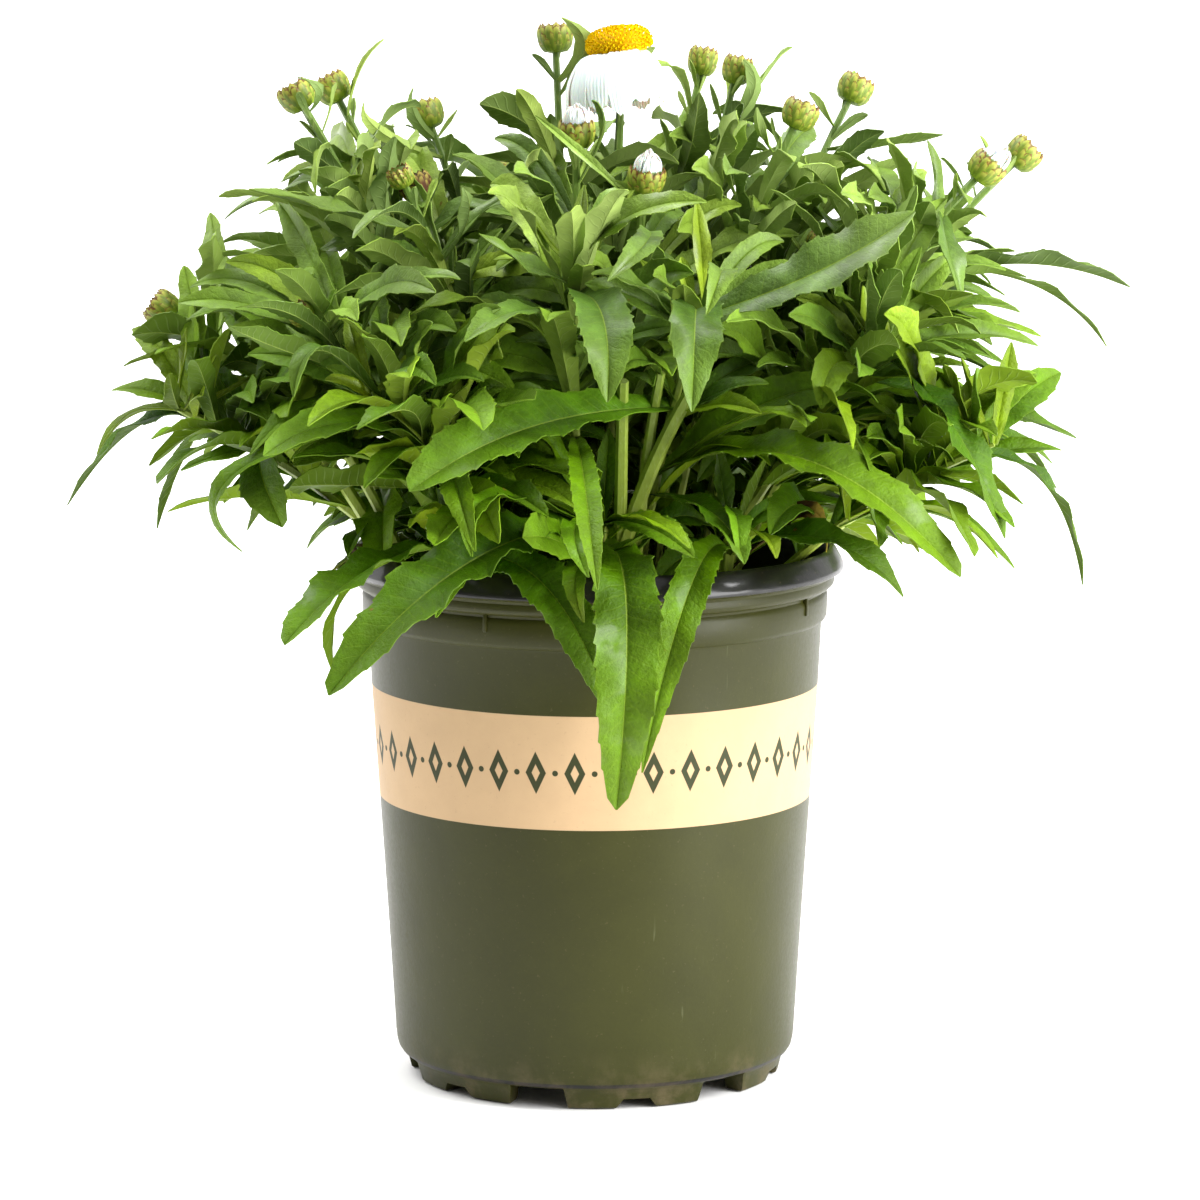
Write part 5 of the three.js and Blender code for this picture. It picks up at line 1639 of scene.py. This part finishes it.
def pot_finish():
    material, tree, shader = new_finish("pot_plastic")
    place_at = object_place(tree)
    x, y, z_metres = split(tree, place_at)
    z = calc(tree, "DIVIDE", z_metres, MM)
    radius = calc(tree, "DIVIDE", distance(tree, x, y), MM)
    wall = calc(tree, "MINIMUM", calc(tree, "MULTIPLY_ADD", z, WALL_LEAN, WALL_FOOT), WALL_MOST)
    over_floor = calc(tree, "GREATER_THAN", z, FLOOR_TOP)
    inner = times(tree, calc(tree, "LESS_THAN", radius, wall), over_floor)
    lip = ramp(tree, z, *LIP_BLACK)
    black = calc(tree, "MAXIMUM", inner, lip)
    cloud = use_group(tree, mottling, Colour=paint(50, 51, 14), Place=place_at, Size=0.03, Amount=0.16)
    grain = use_group(tree, mottling, Colour=cloud["Colour"], Place=place_at, Size=0.0012, Amount=0.07)
    stretched = tree.nodes.new("ShaderNodeMapping")
    feed(tree, place_at, stretched.inputs["Vector"])
    stretched.inputs["Rotation"].default_value = (0.2, 0.5, 0.3)
    stretched.inputs["Scale"].default_value = (1, 1, 0.035)
    hairline = ramp(tree, noise(tree, stretched.outputs[0], 800.0, 2.0, 0.4), 0.73, 0.78)
    rubbed = ramp(tree, noise(tree, place_at, 22.0, 4.0, 0.6), 0.5, 0.7)
    scratch = times(tree, times(tree, hairline, rubbed), 0.4)
    green = mixed(tree, scratch, grain["Colour"], paint(118, 122, 88))
    up = calc(tree, "SUBTRACT", z, (BAND_LOW + BAND_HIGH) / 2)
    ink = mixed(tree, ornament_mask(tree, x, y, up), CREAM, INK)
    printed = use_group(tree, mottling, Colour=ink, Place=place_at, Size=0.012, Amount=0.05)
    band = within(tree, z, (BAND_LOW + BAND_HIGH) / 2, (BAND_HIGH - BAND_LOW) / 2)
    body = mixed(tree, band, green, printed["Colour"])
    dark = mixed(tree, lip, paint(26, 25, 23), paint(18, 17, 15))
    two_tone = mixed(tree, black, body, dark)
    dusty = use_group(tree, dusting, Colour=two_tone, Place=place_at, Reach=0.022, Amount=0.4)
    feed(tree, dusty["Colour"], shader.inputs["Base Color"])
    outside = mixed(tree, band, grey(GREEN_ROUGH), grey(BAND_ROUGH))
    sheen = mixed(tree, black, outside, grey(BLACK_ROUGH))
    rough = calc(tree, "ADD", sheen, times(tree, grain["Mask"], 0.06))
    feed(tree, calc(tree, "MULTIPLY_ADD", dusty["Mask"], 0.3, rough), shader.inputs["Roughness"])
    ripple = noise(tree, place_at, 130.0, 2.0)
    height = calc(tree, "MULTIPLY_ADD", grain["Mask"], 0.12, ripple)
    bumped(tree, shader, calc(tree, "MULTIPLY_ADD", scratch, -0.4, height), 0.25, 0.35)
    gleam = calc(tree, "MULTIPLY_ADD", rubbed, 0.6, 0.4)
    feed(tree, times(tree, lip, gleam), shader.inputs["Coat Weight"])
    shader.inputs["Coat Roughness"].default_value = 0.14
    shader.inputs["Specular IOR Level"].default_value = 0.2
    return material


pot.data.materials.append(pot_finish())
place(pot, "pot_plastic", "pot")
print("pot finish is ready")

# %% [markdown]
# Potting mix is peat and composted bark: nearly black, crumbly, with paler chips. Its top is rings of points
# roughened by noise, and a few hundred small crumbs and chips, each a copy of one rough pebble, lie scattered
# on it. A few hang on the rim at the left, where mix was spilled when the pot was filled.

# %% Potting mix
MIX_SIDES = 96
MIX_RADIUS = 73.4
TOP_RINGS = 22
ROUGHNESS_OF_MIX = 1.3
LUMP_PITCH = 0.11  # lumps for each millimetre


def mix_finish():
    material, tree, shader = new_finish("dark_mix")
    place_at = object_place(tree)
    cloud = use_group(tree, mottling, Colour=paint(46, 34, 25), Place=place_at, Size=0.004, Amount=0.8)
    fine = ramp(tree, noise(tree, place_at, 1400.0, 4.0, 0.7), 0.45, 0.7)
    toned = mixed(tree, attribute(tree, "tone"), cloud["Colour"], paint(104, 76, 48))
    feed(tree, tinted(tree, toned, paint(82, 62, 42), fine, 0.35), shader.inputs["Base Color"])
    feed(tree, calc(tree, "MULTIPLY_ADD", fine, -0.3, 0.95), shader.inputs["Roughness"])
    bumped(tree, shader, noise(tree, place_at, 700.0, 5.0, 0.7), 1.2, 0.9)
    return material


def mix_body():
    radii = np.linspace(MIX_RADIUS - 0.6, SECTION_END, TOP_RINGS)
    top = [(r, soil_height(r, 0) - 0.9) for r in radii]
    side = [(SECTION_END, 8.4), (61.4, 8.4), (64.8, 15), (MIX_RADIUS, 152.4)]
    body = walk_ring("mix_body", side + top, MIX_SIDES)
    points = points_of(body)
    lifted = points[:, 2] > 153.5
    lumps = [mathutils_noise.fractal(Vector(point * LUMP_PITCH), 1.0, 2.1, 4) for point in points[lifted]]
    points[lifted, 2] += ROUGHNESS_OF_MIX * np.array(lumps)
    move_points(body, points)
    return smooth(body, 60)


plain_mix = mix_body()
print("the mix reaches", round(points_of(plain_mix)[:, 2].max(), 1), "mm up")

# %% Crumbs on the mix and on the rim
CRUMBS = 420
SPILLED = 34
SPILL = (-78.5, -24, 172)  # where a little of the mix hangs on the rim
SPILL_REACH = (3.4, 5.5, 7)
CRUMB_SEED = 777


def pebble():
    deselect()
    bpy.ops.mesh.primitive_ico_sphere_add(subdivisions=1, radius=MM, location=(0, 0, 0))
    stone = named("pebble")
    points = points_of(stone)
    move_points(stone, [p * (1 + 0.35 * mathutils_noise.noise(Vector(p * 1.7))) for p in points])
    return stone


def crumb_place(draw, spilled):
    if spilled:
        return [middle + (draw() + draw() - 1) * reach for middle, reach in zip(SPILL, SPILL_REACH)]
    radius = (MIX_RADIUS - 2) * math.sqrt(draw())
    angle = 2 * math.pi * draw()
    x, y = radius * math.cos(angle), radius * math.sin(angle)
    return [x, y, soil_height(x, y)]


def scatter_crumbs(template):
    draw = seeded_draws(CRUMB_SEED)
    crumbs = []
    for i in range(CRUMBS + SPILLED):
        spilled = i >= CRUMBS
        x, y, z = crumb_place(draw, spilled)
        size = (1.1 if spilled else 0.7) + 2.1 * draw() ** 3
        form = np.array([1 + 0.9 * draw(), 0.7 + 0.3 * draw(), 0.4 + 0.4 * draw()])
        turned = Matrix.Rotation(6.28 * draw(), 3, "Z") @ Matrix.Rotation(0.8 * draw(), 3, "X")
        points = points_of(template) * form * size @ np.array(turned).T
        crumb = copy_of(template, "crumb")
        move_points(crumb, points + (x, y, z + 0.1 * size))
        write_value(crumb, "tone", 0.9 * draw() ** 3)
        crumbs.append(crumb)
    return crumbs


pebble_template = pebble()
mix = join([plain_mix] + scatter_crumbs(pebble_template), "crumbly_mix")
mix.data.materials.append(mix_finish())
place(mix, "potting_mix", "potting_mix")
print("mix has", triangles_in(mix), "triangles")

# %% [markdown]
# A closed daisy bud is a squat urn wrapped in four rows of overlapping scales, and an opening one shows
# three. Each scale is a narrow green tongue with a keel, and its tip dries brown. One scale is modelled as a
# small grid with its middle row raised. The rows are made of copies of it, each wrapped round the urn,
# standing a little off the one behind. A withered head is the same with scales dried to brown.

# %% Model one bud scale
SCALE_ALONG = 6
SCALE_ACROSS = 2
KEEL_HEIGHT = 0.42
TIP_NARROWS = 0.5
TIP_BACK = 0.08  # how far the corners of the tip are drawn back


def one_scale():
    scale = flat_strip("one_scale", SCALE_ALONG, SCALE_ACROSS)
    along, across, _ = points_of(scale).T
    push(scale, np.isclose(across, 0, atol=NEARLY), (0, 0, KEEL_HEIGHT))
    corners = (along > 0.9) & (np.abs(across) > 0.9)
    stretch(scale, corners, (1, TIP_NARROWS, 1))
    push(scale, corners, (-TIP_BACK, 0, 0))
    return scale


scale_template = one_scale()
print("one scale has", triangles_in(scale_template), "triangles")

# %% Finish of scales
def scale_finish(name, base, tip, stripe, rough):
    """A scale is one colour at its foot and another at its dry tip, with a darker line along the keel."""
    material, tree, shader = new_finish(name)
    along, across = blade_place(tree)
    place_at = object_place(tree)
    cloud = use_group(tree, mottling, Colour=base, Place=place_at, Size=0.0016, Amount=0.3)
    off = calc(tree, "ABSOLUTE", across)
    keel = inverse(tree, ramp(tree, off, 0.1, 0.45))
    lined = tinted(tree, cloud["Colour"], stripe, keel, 0.45)
    pale = tinted(tree, lined, paint(206, 196, 84), ramp(tree, along, 0.45, 0.85), 0.5)
    rim = tinted(tree, pale, stripe, ramp(tree, off, 0.62, 0.95), 0.75)
    grain = noise(tree, place_at, 900.0, 2.0)
    from_edge = calc(tree, "MAXIMUM", along, calc(tree, "MULTIPLY_ADD", off, 0.22, 0.74))
    near_tip = times(tree, from_edge, ramp(tree, along, 0.45, 0.7))
    dry = ramp(tree, calc(tree, "MULTIPLY_ADD", grain, 0.2, near_tip), 0.92, 1.04)
    feed(tree, tinted(tree, rim, tip, dry, attribute(tree, "tone")), shader.inputs["Base Color"])
    shader.inputs["Roughness"].default_value = rough
    bumped(tree, shader, grain, 0.15, 0.5)
    return material


bud_scale = scale_finish("bud_scale", paint(132, 152, 40), paint(112, 62, 20), paint(74, 98, 22), 0.5)
brown_scale = scale_finish("withered_scale", paint(104, 60, 34), paint(58, 32, 20), paint(70, 40, 24), 0.8)
print("two scale finishes are ready")

# %% Rows of scales round a head
# the urn's line from its foot to its mouth: share of the way, radius and height
URN_SHARE = np.array([0, 0.1, 0.28, 0.5, 0.72, 0.9, 1.02, 1.12, 1.25])
URN_RADIUS = np.array([0.24, 0.66, 0.88, 0.97, 1.0, 0.95, 0.84, 0.6, 0.06])
URN_HEIGHT = np.array([0.0, 0.04, 0.22, 0.45, 0.68, 0.87, 0.99, 1.04, 1.03])
SCALE_END = 1.02  # scales that reach past this share stand up instead of following the core inwards
# where a row starts, how far its scales reach, how many there are, how brown its tips are
CLOSED_ROWS = [(-0.02, 0.5, 9, 0.7), (0.1, 0.66, 12, 0.9), (0.3, 0.72, 13, 1.0), (0.44, 0.7, 11, 1.0)]
OPEN_ROWS = CLOSED_ROWS[:2] + [(0.26, 0.76, 13, 1.0)]
CUP_ROWS = [(0.0, 0.3, 10, 0.1), (0.14, 0.34, 13, 0.3), (0.3, 0.36, 14, 0.5)]
SCALE_THICKNESS = 0.22
SCALE_OVERLAP = 0.72  # half a scale's width, as a share of its row's pitch
CORE_SIDES = 12
print("a closed bud wears", sum(row[2] for row in CLOSED_ROWS), "scales")

# %% Wrap the scales round a head
def frame_of(along):
    """Two directions across a head and the one it faces."""
    along = np.asarray(along, float) / np.linalg.norm(along)
    first = np.cross((0, 1, 0), along)
    first /= np.linalg.norm(first)
    return first, np.cross(along, first), along


def wrap_scale(template, radius, height, start, reach, turn, half_turn, lift):
    along, across, keel = points_of(template).T
    share = start + reach * along
    wide = np.interp(along, [0, 0.45, 0.8, 1], [0.8, 1.0, 0.72, 0.2])
    past = np.maximum(0, share - SCALE_END)
    r = radius * (np.interp(np.minimum(share, SCALE_END), URN_SHARE, URN_RADIUS) - 0.7 * past)
    z = height * (np.interp(np.minimum(share, SCALE_END), URN_SHARE, URN_HEIGHT) + 0.9 * past)
    angle = turn + half_turn * across * wide
    off = lift * (0.2 + 0.8 * along ** 2) + keel * wide * 0.8 - 0.3 * np.abs(across) ** 2
    return np.stack([(r + off) * np.cos(angle), (r + off) * np.sin(angle), z + 0.3 * off], axis=1)


def scaly_head(name, base, along, radius, height, rows, finish, seed):
    """A head of scales with a plain core inside, standing at base and facing along."""
    draw = seeded_draws(seed)
    first, second, up = frame_of(along)
    turn_to = np.stack([first, second, up])
    scales = []
    for row, (start, reach, count, brown) in enumerate(rows):
        for i in range(count):
            turn = 2 * np.pi * (i + 0.5 * (row % 2) + 0.16 * (draw() - 0.5)) / count
            half_turn = 2 * np.pi / count * SCALE_OVERLAP
            own_reach = reach * (0.92 + 0.16 * draw())
            lift = 0.3 + 0.35 * draw()
            points = wrap_scale(scale_template, radius, height, start, own_reach, turn, half_turn, lift)
            scale = copy_of(scale_template, "scale")
            move_points(scale, points @ turn_to + base)
            write_value(scale, "tone", brown * (0.6 + 0.4 * draw()))
            scales.append(scale)
    head = join(scales, name)
    apply_modifier(head, "SOLIDIFY", thickness=SCALE_THICKNESS * MM, offset=-1)
    urn = [(radius * r * 0.93 + 0.05, height * h * 0.96 + 0.3) for r, h in zip(URN_RADIUS, URN_HEIGHT)]
    core = walk_ring("core", urn, CORE_SIDES)
    move_points(core, points_of(core) @ turn_to + base)
    head = join([head, core], name)
    head.data.materials.append(finish)
    return smooth(head, 60)


# %% [markdown]
# An opening bud shows its rays before they spread, as a tight tuft of folded white strips. One long strip
# with a groove and a rounded tip is modelled, and copies of it are bundled upright for a tuft. The open
# flower's rays are the same strip, bent out over the cup and down again.

# %% Model one white ray
RAY_ALONG = 10
RAY_ACROSS = 6
RAY_GROOVE = 0.22
RAY_ROUNDING, RAY_NOTCH = 0.045, 0.02  # how far the sides and the middle of a ray's tip are drawn back
RAY_THICKNESS = 0.3


def one_ray():
    ray = flat_strip("one_ray", RAY_ALONG, RAY_ACROSS)
    along, across, _ = points_of(ray).T
    push(ray, np.isclose(np.abs(across), 2 / RAY_ACROSS, atol=NEARLY), (0, 0, -RAY_GROOVE))
    push(ray, (along > 0.99) & (np.abs(across) > 0.5), (-RAY_ROUNDING, 0, 0))
    push(ray, (along > 0.99) & np.isclose(across, 0, atol=NEARLY), (-RAY_NOTCH, 0, 0))
    return ray


# %% Finish of the white rays
def ray_finish():
    material, tree, shader = new_finish("white_ray")
    along, across = blade_place(tree)
    place_at = object_place(tree)
    grooves = calc(tree, "SINE", times(tree, across, 19.0))
    shade = calc(tree, "MULTIPLY_ADD", grooves, 0.5, 0.5)
    foot = inverse(tree, ramp(tree, along, 0.0, 0.22))
    # the grooves are painted a little darker, as painted shade, and the same wave lifts the bump
    white = tinted(tree, paint(255, 252, 244), paint(240, 236, 224), shade, 0.06)
    feed(tree, tinted(tree, white, paint(226, 226, 176), foot, 0.5), shader.inputs["Base Color"])
    shader.inputs["Roughness"].default_value = 0.55
    shader.inputs["Subsurface Weight"].default_value = 0.35
    shader.inputs["Subsurface Scale"].default_value = 0.003
    height = calc(tree, "MULTIPLY_ADD", noise(tree, place_at, 900.0, 2.0), 0.3, shade)
    bumped(tree, shader, height, 0.14, 0.6)
    return material


ray_template = one_ray()
ray_template.data.materials.append(ray_finish())
print("one ray has", triangles_in(ray_template), "triangles")

# %% Bundle folded rays into a tuft
TUFT_RINGS = ((0.3, 5), (0.55, 8), (0.74, 10))  # share of the bud's radius, number of rays
FOLDED_WIDTH = 1.9


def closed_tuft(name, base, along, radius, height, seed):
    """Folded rays standing out of an opening bud."""
    draw = seeded_draws(seed)
    turn_to = np.stack(frame_of(along))
    rays = []
    for ring, count in TUFT_RINGS:
        for i in range(count):
            turn = 2 * np.pi * (i + 0.4 * draw()) / count
            u, v, groove = points_of(ray_template).T
            tall = height * (1.05 - 0.3 * ring) * (0.86 + 0.22 * draw())
            r = radius * ring * (1 - 0.5 * u ** 4) + groove
            angle = turn + v * (FOLDED_WIDTH / (radius * ring + 0.5)) * (1 - 0.5 * u)
            points = np.stack([r * np.cos(angle), r * np.sin(angle), tall * u], axis=1)
            ray = copy_of(ray_template, "folded_ray")
            move_points(ray, points @ turn_to + base)
            rays.append(ray)
    tuft = join(rays, name)
    apply_modifier(tuft, "SOLIDIFY", thickness=RAY_THICKNESS * MM, offset=-1)
    return smooth(tuft, 60)


print("a tuft holds", sum(count for _, count in TUFT_RINGS), "rays")

# %% Dress every bud
GAP = 0.35
TUFT_HEIGHT = 6
HEAD_SEEDS, TUFT_DRAWS = 900, 950


def dress_head(owner, stem):
    name, _, head, _, _, top = stem
    radius, height = HEAD_SIZES[top]
    number = name[-2:]
    _, along = on_stem(stem, 1.0)
    base = np.array(head, float) + along * GAP * 0.4
    seed = HEAD_SEEDS + owner
    if top == "withered_head":
        piece = scaly_head("dry_head", base, along, radius * 0.95, height, CLOSED_ROWS, brown_scale, seed)
        return place(piece, "withered_head", "withered_head")
    opening = top == "white_bud"
    rows = OPEN_ROWS if opening else CLOSED_ROWS
    piece = scaly_head(f"scaly_bud_{number}", base, along, radius * 0.88, height, rows, bud_scale, seed)
    place(piece, "bud_scale", f"bud_{number}")
    if opening:
        mouth = base + along * height * 0.72
        tall = TUFT_HEIGHT + height * 0.24
        tuft = closed_tuft(f"white_tuft_{number}", mouth, along, radius * 0.92, tall, TUFT_DRAWS + owner)
        place(tuft, "white_ray", f"bud_rays_{number}")
    return piece


buds = [dress_head(owner, stem) for owner, stem in enumerate(STEMS) if stem[5] not in ("shoot", "bloom")]
print(len(buds), "heads have", sum(map(triangles_in, buds)), "triangles")

# %% [markdown]
# The open flower faces up and a little to the right. Its rays have aged and hang down like a skirt, and its
# disc is a dome of several hundred tiny yellow florets in the spiral of a sunflower. Each floret is a five
# sided tube with a flared mouth, modelled once from a ring of five points and copied along the spiral.

# %% The flower's own frame
BLOOM_TILT = (-0.06, -0.13)  # radians about X and Y
bloom_stem = STEMS[0]
bloom_place = np.array(bloom_stem[2], float)
bloom_turn = np.array(Matrix.Rotation(BLOOM_TILT[0], 3, "X") @ Matrix.Rotation(BLOOM_TILT[1], 3, "Y"))


def at_bloom(points):
    return points @ bloom_turn.T + bloom_place


print("flower stands", bloom_place[2], "mm up")

# %% Bend one ray over the cup
MAIN_RAYS = 15
MORE_RAYS = 19
RAY_WIDTH = 8
RAY_SPREAD, RAY_DROOP = 18, 14  # how far a ray's tip lies out from the axis and below the head
SIDE_SPREAD, SIDE_DROOP = 3.5, 2  # how much further out and lower the rays on the left hang
RAY_STATIONS = [0, 0.3, 0.75, 0.93, 1]  # shares of a ray's length
RAY_HALF_WIDTHS = [0.17, 0.38, 0.5, 0.42, 0.3]  # and half its width there, as shares of its width


def smooth_path(knots, share):
    """A smooth line through evenly spaced knots, as (radius, height), and its direction."""
    knots = np.array(knots, float)
    ends = np.vstack([2 * knots[0] - knots[1], knots, 2 * knots[-1] - knots[-2]])
    spot = np.clip(share, 0, 1) * (len(knots) - 1)
    k = np.minimum(spot.astype(int), len(knots) - 2)
    t = (spot - k)[:, None]
    a, b, c, d = (ends[k + i] for i in range(4))
    square = 2 * a - 5 * b + 4 * c - d
    cube = 3 * b - a - 3 * c + d
    line = 0.5 * (2 * b + (c - a) * t + square * t ** 2 + cube * t ** 3)
    way = 0.5 * ((c - a) + 2 * square * t + 3 * cube * t ** 2)
    return line, way / np.linalg.norm(way, axis=1, keepdims=True)


def bent_ray(angle, extra, width, twist, inset):
    """A ray at an angle round the flower. extra lets it hang lower, inset starts it nearer the axis."""
    along, across, groove = points_of(ray_template).T
    spread = RAY_SPREAD - SIDE_SPREAD * math.cos(angle) - inset
    droop = RAY_DROOP - SIDE_DROOP * math.cos(angle) + extra
    knots = [
        (7.4 - inset, 5.2 - inset * 0.5), (spread * 0.66, 4.4 - inset),
        (spread * 0.93, -0.28 * droop), (spread, -droop),
    ]
    line, way = smooth_path(knots, along)
    out = np.array([math.cos(angle), math.sin(angle), 0])
    side = np.array([-math.sin(angle), math.cos(angle), 0])
    up = np.array([0, 0, 1.0])
    across_way = side * width * np.interp(along, RAY_STATIONS, RAY_HALF_WIDTHS)[:, None]
    normal = -way[:, 1:2] * out + way[:, 0:1] * up
    lean = (twist * across * along)[:, None]
    crown = (-0.55 * across ** 2 * along)[:, None]
    points = out * line[:, 0:1] + up * line[:, 1:2] + across_way * across[:, None]
    ray = copy_of(ray_template, "ray")
    move_points(ray, at_bloom(points + normal * (groove[:, None] + lean + crown)))
    return ray


print("rays hang down by", RAY_DROOP, "mm")

# %% White rays of the open flower
FLOWER_SEED = 333


def flower_rays():
    draw = seeded_draws(FLOWER_SEED)
    rays = []
    for i in range(MAIN_RAYS):
        angle = 2 * math.pi * i / MAIN_RAYS
        extra = 1.9 * math.sin(i * 2.4)
        inset = 0.9 * draw()
        rays.append(bent_ray(angle, extra, RAY_WIDTH, (draw() - 0.5) * 1.6, inset))
    for i in range(MORE_RAYS):
        angle = 2 * math.pi * (i + 0.3 + 0.3 * draw()) / MORE_RAYS
        extra = 1.5 * draw() - 2
        rays.append(bent_ray(angle, extra, RAY_WIDTH * 0.9, (draw() - 0.5) * 1.2, 0.8 + draw()))
    piece = join(rays, "drooping_rays")
    apply_modifier(piece, "SOLIDIFY", thickness=RAY_THICKNESS * MM, offset=-1)
    return smooth(piece, 60)


rays = place(flower_rays(), "white_ray", "bloom_rays")
print("flower has", MAIN_RAYS + MORE_RAYS, "rays,", triangles_in(rays), "triangles")

# %% Model one floret
FLORET_SIDES = 5
FLORET_RADIUS = 0.3
FLORET_STEPS = ((0.9, 1.1), (0.5, 1.6), (-0.35, 0.4))  # rise and widening of tube, mouth and inside


def one_floret():
    floret = open_ring("one_floret", FLORET_SIDES, FLORET_RADIUS)
    for rise, widen in FLORET_STEPS:
        raise_ring(rise * MM, widen)
    close_ring()
    return face_outwards(floret)


floret_template = one_floret()
print("one floret has", triangles_in(floret_template), "triangles")

# %% Yellow disc of the open flower
FLORETS = 330
FLORET_SEED = 555
FLORETS_CROWD = 0.62  # below one, florets stand closer at the rim
DOME_SIDES = 24
DOME_TURN = 17.2  # length of the dome's line from its middle to its rim
DOME_LENGTH = np.array([0, 3.2, 6.9, 9.3, 11.4, 13.2, 15.0, DOME_TURN])
DOME_RADIUS = np.array([0, 3.2, 6.8, 8.9, 10.0, 10.5, 10.4, 9.6])
DOME_HEIGHT = np.array([12.7, 12.6, 12.1, 11.0, 9.5, 8.0, 6.6, 5.2])
DOME_SLOPE = np.array([0, 6, 18, 40, 64, 82, 98, 112])  # degrees that a floret there leans from upright


def disc_finish():
    material, tree, shader = new_finish("yellow_disc")
    place_at = object_place(tree)
    cloud = use_group(tree, mottling, Colour=paint(234, 204, 0), Place=place_at, Size=0.0014, Amount=0.2)
    # the deep gold is painted shade where the tone is high
    deep = mixed(tree, attribute(tree, "tone"), cloud["Colour"], paint(214, 170, 0))
    feed(tree, deep, shader.inputs["Base Color"])
    shader.inputs["Roughness"].default_value = 0.6
    shader.inputs["Specular IOR Level"].default_value = 0.1
    bumped(tree, shader, noise(tree, place_at, 2500.0, 2.0), 0.1, 0.5)
    return material


def flower_disc(template):
    """Florets on a sunflower's spiral, each leaning outwards with the dome, over a plain core."""
    draw = seeded_draws(FLORET_SEED)
    florets = []
    for k in range(FLORETS):
        share = (k + 0.5) / FLORETS
        spot_on_line = DOME_TURN * share ** FLORETS_CROWD
        radius = float(np.interp(spot_on_line, DOME_LENGTH, DOME_RADIUS))
        height = float(np.interp(spot_on_line, DOME_LENGTH, DOME_HEIGHT)) + 0.5 * draw()
        angle = math.radians(GOLDEN_ANGLE * k)
        lean = float(np.interp(spot_on_line, DOME_LENGTH, DOME_SLOPE))
        slope = math.radians(lean + 50 * (draw() - 0.5))
        size = 0.8 + 0.45 * draw()
        leaned = Matrix.Rotation(angle, 3, "Z") @ Matrix.Rotation(slope, 3, "Y")
        turned = leaned @ Matrix.Rotation(draw(), 3, "Z")
        sunk = 0.6 * size
        level = radius - sunk * math.sin(slope)
        spot = (level * math.cos(angle), level * math.sin(angle), height - sunk * math.cos(slope))
        floret = copy_of(template, "floret")
        move_points(floret, at_bloom(points_of(template) * size @ np.array(turned).T + spot))
        # a random deep tone, with painted shade on the outer florets round the dome's lower edge
        write_value(floret, "tone", 0.4 * draw() ** 2 + 0.3 * max(0, share - 0.75) * 4 * draw())
        florets.append(floret)
    core = [(max(0.4, r - 0.9), h - 0.6) for r, h in zip(DOME_RADIUS[::-1], DOME_HEIGHT[::-1])]
    dome = walk_ring("dome", core, DOME_SIDES)
    move_points(dome, at_bloom(points_of(dome)))
    # the core shows only in the gaps between florets and is painted deep gold all over, as painted shade
    write_value(dome, "tone", 1.0)
    disc = join([dome] + florets, "floret_disc")
    disc.data.materials.append(disc_finish())
    return smooth(disc, 50)


disc = place(flower_disc(floret_template), "yellow_disc", "bloom_disc")
print("disc has", FLORETS, "florets,", triangles_in(disc), "triangles")

# %% Green cup under the flower
CUP_DROP = -2.0
CUP_RADIUS, CUP_HEIGHT = 8.6, 7.0
CUP_SEED = 990
cup_foot = at_bloom(np.array([0, 0, CUP_DROP]))
cup_faces = at_bloom(np.array([0, 0, 1.0])) - bloom_place
cup = scaly_head("scaly_cup", cup_foot, cup_faces, CUP_RADIUS, CUP_HEIGHT, CUP_ROWS, bud_scale, CUP_SEED)
place(cup, "bud_scale")
print("cup has", triangles_in(cup), "triangles")

# %% [markdown]
# The flat blades, the straight stem and the other single pieces were only patterns to copy from, so they are
# taken away.

# %% Take away the patterns and finish
patterns = [*blades.values(), stem_template, scale_template, pebble_template, ray_template, floret_template]
for pattern in patterns:
    bpy.data.objects.remove(pattern)
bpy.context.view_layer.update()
deselect()
